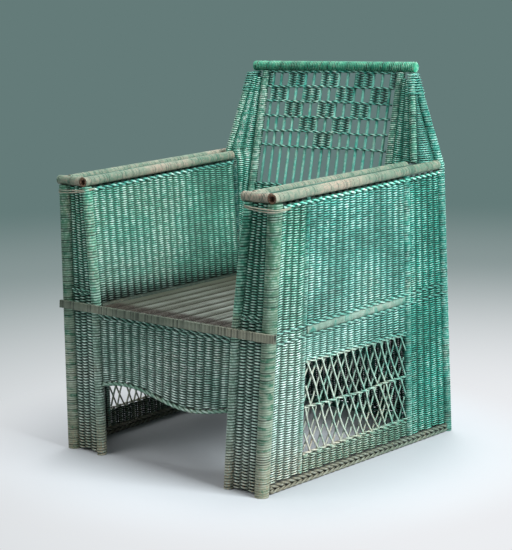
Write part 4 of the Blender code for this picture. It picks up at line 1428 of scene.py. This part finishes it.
@dataclass
class FrontColumn:
    """One front column with its arm: the narrow front wall, the inner arm wall and the woven arm top."""

    tag: str
    finishes: Finishes
    weave: Weave = Weave(row_pitch=0.0032, reed=0.0019, stake_gap=0.0036, stake_pitch=0.0185, swing=0.0034)
    low_weave: Weave = Weave(row_pitch=0.0037, reed=0.0021, stake_gap=0.0036, stake_pitch=0.0185,
                             swing=0.0034)
    arm_weave: Weave = Weave(stake_pitch=0.025)
    row: Twist = Twist(radius=0.0017, swing=0.0017, turn=0.038, points_across=12)
    braid: Twist = Twist(radius=0.0029, swing=0.0027, turn=0.050)
    braid_drop: float = 0.0075
    braid_lift: float = 0.0055
    braid_room: float = 0.004
    row_shares: tuple[float, ...] = (0.600, 0.612)
    row_lift: float = 0.0050
    loose: float = 0.0018
    loose_room: float = 0.00252
    loose_step: float = 0.004
    loose_start: float = 0.012
    loose_end: float = 0.030
    loose_tones: Span = (0.4, 1.0)
    loose_sags: Span = (0.0, 0.0055)
    sag_shares: tuple[float, ...] = (0.0, 0.3, 0.6, 1.0, 1.0, 0.7, 0.4)
    drops: tuple[float, ...] = (0.004, 0.005, 0.008, 0.010, 0.012, 0.012, 0.008)

    def build(self) -> None:
        """Builds the column and the arm and hands their pieces in."""
        self.front()
        self.inner_arm()
        self.arm_top()
        self.loose_reeds()

    def front(self) -> None:
        """The narrow wall between the two posts, with twisted rows across it."""
        node = f"column_weave_{self.tag}"
        rng = dice(node)
        wall = Wall.by_levels(node, Axis.X)
        reeds = Reeds(f"weave_{node}")
        split = self.row_shares[0]
        self.weave.fill(reeds, wall, rng, low=split, outside=AHEAD)
        self.low_weave.fill(reeds, wall, rng, high=split, outside=AHEAD, standing=False)
        self.row.across(reeds, wall, self.row_shares, AHEAD, self.row_lift, rng)
        hand_in(reeds.build(self.finishes.front), Slot.REED, node)

    def inner_arm(self) -> None:
        """The wall that the sitter leans on, with its thick twisted row under the rail."""
        node = f"inner_arm_{self.tag}"
        wall = Wall.between(node, Axis.Y, Axis.Z)
        inward = np.array([-1.0 if self.tag == "r" else 1.0, 0, 0])
        top = 1 - self.braid_room / wall.height()
        weave_in(node, wall, self.arm_weave, self.finishes.arm_walls, high=top, outside=inward)
        shift = inward * self.braid_lift - np.array([0, 0, self.braid_drop])
        name = f"braid_inner_{self.tag}"
        braid = Reeds(name, corners=6)
        self.braid.lay(braid, wall.grid[1] + shift, inward, dice(name))
        hand_in(braid.build(self.finishes.walls), Slot.REED)

    def arm_top(self) -> None:
        """The woven strip between the two rails of the arm."""
        node = f"arm_top_{self.tag}"
        weave_in(node, Wall.between(node, Axis.X, Axis.Y), self.weave, self.finishes.shaded)

    def loose_reeds(self) -> None:
        """Two reeds that have come loose under the arm's front and sag round both posts."""
        name = f"loose_reed_{self.tag}"
        reeds = Reeds(name)
        rng = dice(name)
        outer, inner = (Node(f"front_{post}_post_{self.tag}") for post in ("corner", "inner"))
        far, near = outer.rings(Axis.Z)[-1], inner.rings(Axis.Z)[-1]
        side = np.array([np.sign(far[0]), 0, 0])
        wide = outer.ring_radius(Axis.Z) + self.loose_room
        slim = inner.ring_radius(Axis.Z) + self.loose_room
        level = np.array([
            near - side * slim * 0.9 - AHEAD * self.loose_start,
            near - side * slim,
            near + AHEAD * slim,
            (near + far) / 2 + AHEAD * wide,
            far + AHEAD * wide + side * 0.3 * wide,
            far + side * wide + AHEAD * 0.2 * wide,
            far + side * wide - AHEAD * self.loose_end,
        ])
        for sag in self.loose_sags:
            line = level.copy()
            line[:, 2] -= np.array(self.drops) + sag * np.array(self.sag_shares)
            line = along_line(rounded(line), self.loose_step)
            out = unit(line - (near + far) / 2)
            reeds.add(line, out, self.loose, self.loose, self.loose, rng.uniform(*self.loose_tones))
        hand_in(reeds.build(self.finishes.arms), Slot.REED)


@dataclass
class Wing:
    """One wing: the front face that bends past the arm, and the outer face."""

    tag: str
    finishes: Finishes
    weave: Weave = Weave(stake_pitch=0.022)
    front_growth: float = 0.045
    side_growth: float = 0.020
    side_drop: float = 0.018
    binding: float = 0.0016
    binding_pitch: float = 0.0066
    binding_span: Span = (0.900, 0.950)
    binding_stray: float = 0.0012
    binding_tones: Span = (0.3, 1.0)
    bend_points: int = 9

    def build(self) -> None:
        """Builds both faces and the bindings of the posts and hands them in."""
        front = Wall.by_levels(f"wing_front_{self.tag}", Axis.X)
        side = Wall.between(f"wing_side_{self.tag}", Axis.Y, Axis.Z)
        self.grow(front, 0.0, self.front_growth)
        self.grow(side, self.side_drop, self.side_growth)
        weave_in(f"wing_front_{self.tag}", front, self.weave, self.finishes.back)
        weave_in(f"wing_side_{self.tag}", side, self.weave, self.finishes.walls)
        self.bindings()

    def grow(self, wall: Wall, below: float, above: float) -> None:
        """Carries a wall on past its lowest and highest rows.

        Args:
            wall: The wall, which is changed.
            below: How much lower it starts.
            above: How much higher it ends.
        """
        grid = wall.grid
        down = (grid[0] - grid[1]) / (grid[1, :, 2] - grid[0, :, 2])[:, None]
        up = (grid[-1] - grid[-2]) / (grid[-1, :, 2] - grid[-2, :, 2])[:, None]
        grid[0] += down * below
        grid[-1] += up * above

    def bindings(self) -> None:
        """Reeds wound round the wing post and the rear post where they meet near the top."""
        name = f"binding_wing_{self.tag}"
        rng = dice(name)
        reeds = Reeds(name)
        posts = [Node(f"{post}_{self.tag}") for post in ("wing_post", "rear_post")]
        radii = [post.ring_radius(Axis.Z) + self.binding for post in posts]
        low, high = self.binding_span
        for z in np.arange(low, high, self.binding_pitch):
            middles = [np.array(post.at_height(z)) for post in posts]
            loop = self.loop_round(list(zip(middles, radii)))
            height = z + self.binding_stray * drift(rng, np.linspace(0, 1, len(loop)), 1.0)
            line = np.column_stack([loop, height])
            out = np.column_stack([loop - loop.mean(axis=0), np.zeros(len(loop))])
            tone = rng.uniform(*self.binding_tones)
            reeds.add(line, unit(out), self.binding, self.binding, self.binding, tone)
        hand_in(reeds.build(self.finishes.walls), Slot.REED)

    def loop_round(self, places: list[tuple[Array, float]]) -> Array:
        """The points of a tight loop round two circles.

        Args:
            places: The middle and radius of each circle.

        Returns:
            A closed row of points, its first point also its last.
        """
        (first, small), (second, large) = places
        way = second - first
        bend = math.atan2(way[1], way[0]) + np.linspace(-math.pi / 2, math.pi / 2, self.bend_points)
        far = second + large * np.column_stack([np.cos(bend), np.sin(bend)])
        near = first + small * np.column_stack([np.cos(bend + math.pi), np.sin(bend + math.pi)])
        return np.concatenate([far, near, far[:1]])


@dataclass
class Front:
    """The apron under the seat and its wavy border."""

    finishes: Finishes
    weave: Weave = Weave(stake_pitch=0.026)
    row: Twist = Twist(radius=0.0024, swing=0.0024, turn=0.052)
    row_shares: tuple[float, ...] = (0.895, 0.935)
    row_lift: float = 0.0035
    border: Twist = Twist(radius=0.0030, swing=0.0034, turn=0.056, strands=3)

    def build(self) -> None:
        """Builds the apron and the border and hands them in."""
        line = Node("apron_border").rings(Axis.X)
        drop = Node("apron_border").ring_radius(Axis.X)
        cad = Node("apron")
        head = [cad.corner(Axis.X, Axis.Z, far, True) for far in (False, True)]
        share = np.linspace(0, 1, len(line))[:, None]
        top = head[0] * (1 - share) + head[1] * share
        wall = Wall(np.array([line + [0, 0, drop], top]))
        rng = dice("apron")
        reeds = Reeds("weave_apron")
        self.weave.fill(reeds, wall, rng, outside=AHEAD)
        self.row.across(reeds, wall, self.row_shares, AHEAD, self.row_lift, rng)
        hand_in(reeds.build(self.finishes.front), Slot.REED, "apron")
        braid = Reeds("braid_apron_border", corners=6)
        self.border.lay(braid, line, AHEAD, dice("apron_border"))
        hand_in(braid.build(self.finishes.sill), Slot.REED, "apron_border")


@dataclass
class Seat:
    """The close-woven seat, with its ribs from front to back."""

    finishes: Finishes
    weave: Weave = Weave(row_pitch=0.0033, reed=0.0021, stake=0.0024, stake_gap=0.0075,
                         stake_pitch=0.042, swing=0.0042, points_per_stake=6)
    corners: int = 4

    def build(self) -> None:
        """Builds the seat and hands it in."""
        wall = Wall.between("seat", Axis.X, Axis.Y)
        weave_in("seat", wall, self.weave, self.finishes.seat, Slot.SEAT, self.corners)


@dataclass
class Back:
    """The solid lower back and the open-work above it, with woven squares that step in to a point."""

    finishes: Finishes
    gaps: int = 16
    rows: int = 5
    row_pitch: float = 0.0412
    top_room: float = 0.0046
    spoke: float = 0.0040
    spoke_lift: float = 0.020
    spoke_reach: float = 0.029
    reed: float = 0.0017
    reed_pitch: float = 0.0034
    swing: float = 0.0038
    tail: float = 0.10
    wave: float = 0.0022
    weave: Weave = Weave()
    twist: Twist = Twist(radius=0.0018, swing=0.0018, turn=0.046)
    row_span: Span = (0.03, 0.97)
    row_points: int = 50
    spoke_span: Span = (-0.01, 1.02)
    spoke_stray: float = 0.0012
    spoke_points: int = 16

    def build(self) -> None:
        """Builds the back and hands its pieces in."""
        wall = Wall.between("back_weave", Axis.X, Axis.Z)
        weave_in("back_weave", wall, self.weave, self.finishes.back, stakes=self.gaps)
        self.open_work()

    def plane(self) -> Wall:
        """The surface between the axes of the two back posts, over the height of the open-work."""
        low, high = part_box("back_openwork")
        posts = [Node(f"back_post_{tag}") for tag in SIDES]
        return Wall(np.array([[[*post.at_height(z), z] for post in posts] for z in (low.z, high.z)]))

    def open_work(self) -> None:
        """Spokes, twisted rows and the checkerboard."""
        rng = dice("back_openwork")
        wall = self.plane()
        height = wall.height()
        reeds = Reeds("window_back_openwork", corners=6)
        reach = CREST_SHARE * (self.swing + self.reed)
        rise = np.linspace(*self.spoke_span, self.spoke_points)
        for i in range(1, self.gaps):
            u = i / self.gaps + self.spoke_stray * drift(rng, rise, 0.8)
            tone = rng.random()
            line = wall.at(u, rise)
            # Painted shade: a spoke's sides count as standing out less than its front, so the finishes draw
            # them darker, which rounds it.
            reeds.add(line, wall.facing(u, rise), self.spoke, self.spoke_lift, self.spoke_reach, tone)
        checks_top = height - self.top_room
        for row in range(self.rows):
            top = checks_top - row * self.row_pitch
            bottom = top - self.row_pitch + self.top_room
            for start, end in self.squares(row):
                self.square(reeds, wall, rng, start, end, bottom, top, reach)
            self.twisted_row(reeds, wall, rng, bottom - self.top_room / 2)
        self.twisted_row(reeds, wall, rng, height - self.top_room / 2)
        self.twisted_row(reeds, wall, rng, self.top_room / 2)
        hand_in(reeds.build(self.finishes.open_work), Slot.REED, "back_openwork")

    def squares(self, row: int) -> list[tuple[int, int]]:
        """First and last spoke of each woven square in a row, counted from the left post."""
        middle = (self.gaps // 2 + 2) // 2
        reach = middle - 1 - row
        found = []
        for square in range(-reach, reach + 1, 2):
            start = 2 * (square + middle) - 3
            found.append((max(0, start), min(self.gaps, start + 2)))
        return found

    def square(self, reeds: Reeds, wall: Wall, rng: np.random.Generator, start: int, end: int, bottom: float,
               top: float, reach: float) -> None:
        """Weaves one square over its spokes.

        Args:
            reeds: Where the reeds are added.
            wall: The back's surface.
            rng: Where the shades are drawn.
            start: The square's first spoke.
            end: Its last spoke.
            bottom: Height of its foot over the solid weave.
            top: Height of its head.
            reach: How far its highest crest stands off.
        """
        rows = round((top - bottom) / self.reed_pitch)
        spokes = np.linspace(start - self.tail, end + self.tail, 6 * (end - start) + 5)
        u = spokes / self.gaps
        turn_in = np.clip((spokes - start + self.tail) / self.tail, 0, 1)
        turn_in = turn_in * np.clip((end + self.tail - spokes) / self.tail, 0, 1)
        for row in range(rows):
            v = np.full_like(u, (bottom + (top - bottom) * (row + 0.5) / rows) / wall.height())
            lift = self.swing * np.cos(math.pi * (spokes - start + row)) * turn_in
            out = wall.facing(u, v)
            reeds.add(wall.at(u, v) + out * lift[:, None], out, self.reed, lift, reach, rng.random())

    def twisted_row(self, reeds: Reeds, wall: Wall, rng: np.random.Generator, height: float) -> None:
        """A loose twisted row from post to post."""
        u = np.linspace(*self.row_span, self.row_points)
        v = (height + self.wave * drift(rng, u, 1.0)) / wall.height()
        out = -wall.facing(u, v).mean(axis=0)
        out = out if out[1] < 0 else -out
        self.twist.lay(reeds, wall.at(u, v) + out * self.spoke, out, rng)


@dataclass
class Rear:
    """The plain woven wall at the back and its border."""

    finishes: Finishes
    weave: Weave = Weave()
    border: Twist = Twist(radius=0.0030, swing=0.0034, turn=0.056, strands=3)
    border_step: float = 0.0057

    def build(self) -> None:
        """Builds the wall and the border and hands them in."""
        wall = Wall.between("rear_panel", Axis.X, Axis.Z)
        weave_in("rear_panel", wall, self.weave, self.finishes.walls, outside=BEHIND)
        braid = Reeds("braid_rear_border", corners=6)
        line = Node("rear_border").rings(Axis.X)
        for step in (self.border_step, -self.border_step):
            self.border.lay(braid, line + np.array([0, 0, step]), BEHIND, dice("rear_border"))
        hand_in(braid.build(self.finishes.walls), Slot.REED, "rear_border")


@dataclass(frozen=True)
class Lamp:
    """A soft square lamp: where it hangs, the length of its side, its power in watts and its colour."""

    name: str
    place: Place
    size: float
    power: float
    colour: Colour = (1, 1, 1)

    def hang(self, middle: Place) -> None:
        """Adds the lamp, turned to face a place."""
        data = bpy.data.lights.new(self.name, "AREA")
        data.color = self.colour
        data.size = self.size
        data.energy = self.power
        lamp = bpy.data.objects.new(self.name, data)
        lamp.location = self.place
        way = Vector(middle) - Vector(self.place)
        lamp.rotation_euler = way.to_track_quat("-Z", "Y").to_euler()
        bpy.context.scene.collection.objects.link(lamp)


@dataclass
class Studio:
    """Floor, lamps, background and camera."""

    azimuth: float = 39.685
    elevation: float = 9.660
    roll: float = -0.2133
    place: Place = (2.2342, -2.7005, 1.0319)
    focal_pixels: float = 1371.565
    image_height: int = 550
    sensor: float = 36.0
    floor_radius: float = 14.0
    floor_sides: int = 96
    floor_middle: Place = (0.0, 0.0, 0.0)
    floor_roughness: float = 0.9
    floor_shine: float = 0.1
    shaded_span: Span = (0.46, 0.84)
    light_middle: Place = (0.65, 0.12, 0.0)
    near_dusk: Span = (0.4, 3.4)
    near_share: float = 0.8
    far_dusk: Span = (2.5, 5.8)
    far_share: float = 0.2
    floor_colour: Colour = srgb(184, 188, 192)
    pale_colour: Colour = srgb(236, 238, 241)
    dusk_colour: Colour = srgb(100, 123, 121)
    sky_colour: Colour = (0.93, 0.97, 1.0)
    sky_strength: float = 0.10
    lamps: tuple[Lamp, ...] = (
        Lamp("key", (3.3, 0.05, 2.65), 1.6, 285, (0.93, 0.98, 1.0)),
        Lamp("front_fill", (-1.0, -2.8, 3.4), 2.5, 66),
        Lamp("top", (-0.7, 0.4, 3.6), 2.5, 95),
        Lamp("rear_fill", (-1.4, 3.0, 2.6), 2.5, 55),
    )
    lamps_face: Place = (0.0, 0.0, 0.45)

    def build(self) -> None:
        """Sets the stage."""
        self.camera()
        self.floor()
        self.world()
        for lamp in self.lamps:
            lamp.hang(self.lamps_face)
        bpy.context.scene.view_settings.view_transform = "Standard"

    def camera(self) -> None:
        """The camera at the photograph's angle."""
        a, e, r = (math.radians(x) for x in (self.azimuth, self.elevation, self.roll))
        back = Vector((math.sin(a) * math.cos(e), -math.cos(a) * math.cos(e), math.sin(e)))
        level = Vector((0, 0, 1)).cross(back).normalized()
        upright = back.cross(level)
        right = level * math.cos(r) + upright * math.sin(r)
        up = upright * math.cos(r) - level * math.sin(r)
        data = bpy.data.cameras.new("camera")
        data.sensor_fit = "VERTICAL"
        data.sensor_height = self.sensor
        data.lens = self.focal_pixels * self.sensor / self.image_height
        camera = bpy.data.objects.new("camera", data)
        turned = Matrix((right, up, back)).transposed().to_4x4()
        camera.matrix_world = Matrix.Translation(self.place) @ turned
        bpy.context.scene.collection.objects.link(camera)
        bpy.context.scene.camera = camera

    def floor(self) -> None:
        """A wide pale disc that takes shadows near the chair; farther out the camera sees it glow instead,
        palest round light_middle and dimming away from it, a painted pool of light.
        """
        deselect()
        bpy.ops.mesh.primitive_circle_add(vertices=self.floor_sides, radius=self.floor_radius,
                                          fill_type="NGON")
        floor = bpy.context.object
        floor.name = "floor"
        shades = Shades("studio_floor")
        near = shades.distance(self.floor_middle)
        away = shades.distance(self.light_middle)
        # Painted light: the glow the camera sees dims with distance from light_middle.
        dimming = shades.total(
            shades.ramp(away, *self.near_dusk, 0.0, self.near_share),
            shades.ramp(away, *self.far_dusk, 0.0, self.far_share),
        )
        far = shades.mix(dimming, self.pale_colour, self.dusk_colour)
        shades.feed(shades.shader.inputs["Base Color"], self.floor_colour)
        shades.feed(shades.shader.inputs["Roughness"], self.floor_roughness)
        shades.feed(shades.shader.inputs["Specular IOR Level"], self.floor_shine)
        glow = shades.node("Emission", {"Color": far})
        path = shades.node("LightPath", {})
        seen = shades.product(path.outputs["Is Camera Ray"], shades.ramp(near, *self.shaded_span))
        blend = shades.node("MixShader", {0: seen, 1: shades.shader.outputs[0], 2: glow.outputs[0]})
        shades.feed(shades.tree.nodes["Material Output"].inputs["Surface"], blend.outputs[0])
        floor.data.materials.append(shades.material)

    def world(self) -> None:
        """Even light all round, and the plain backdrop that the camera sees."""
        world = bpy.data.worlds.new("studio")
        bpy.context.scene.world = world
        world.use_nodes = True
        tree = world.node_tree
        light = tree.nodes["Background"]
        light.inputs["Color"].default_value = (*self.sky_colour, 1)
        light.inputs["Strength"].default_value = self.sky_strength
        seen = tree.nodes.new("ShaderNodeBackground")
        seen.inputs["Color"].default_value = (*self.dusk_colour, 1)
        path = tree.nodes.new("ShaderNodeLightPath")
        blend = tree.nodes.new("ShaderNodeMixShader")
        tree.links.new(path.outputs["Is Camera Ray"], blend.inputs[0])
        tree.links.new(light.outputs[0], blend.inputs[1])
        tree.links.new(seen.outputs[0], blend.inputs[2])
        tree.links.new(blend.outputs[0], tree.nodes["World Output"].inputs["Surface"])


def main() -> None:
    """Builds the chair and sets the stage."""
    logging.basicConfig(level=logging.INFO, format="%(message)s")
    finishes = Finishes()
    Poles(finishes).build()
    for tag in SIDES:
        SideWall(tag, finishes).build()
        FrontColumn(tag, finishes).build()
        Wing(tag, finishes).build()
    Front(finishes).build()
    Seat(finishes).build()
    Back(finishes).build()
    Rear(finishes).build()
    Studio().build()
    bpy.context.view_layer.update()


if __name__ == "__main__":
    main()
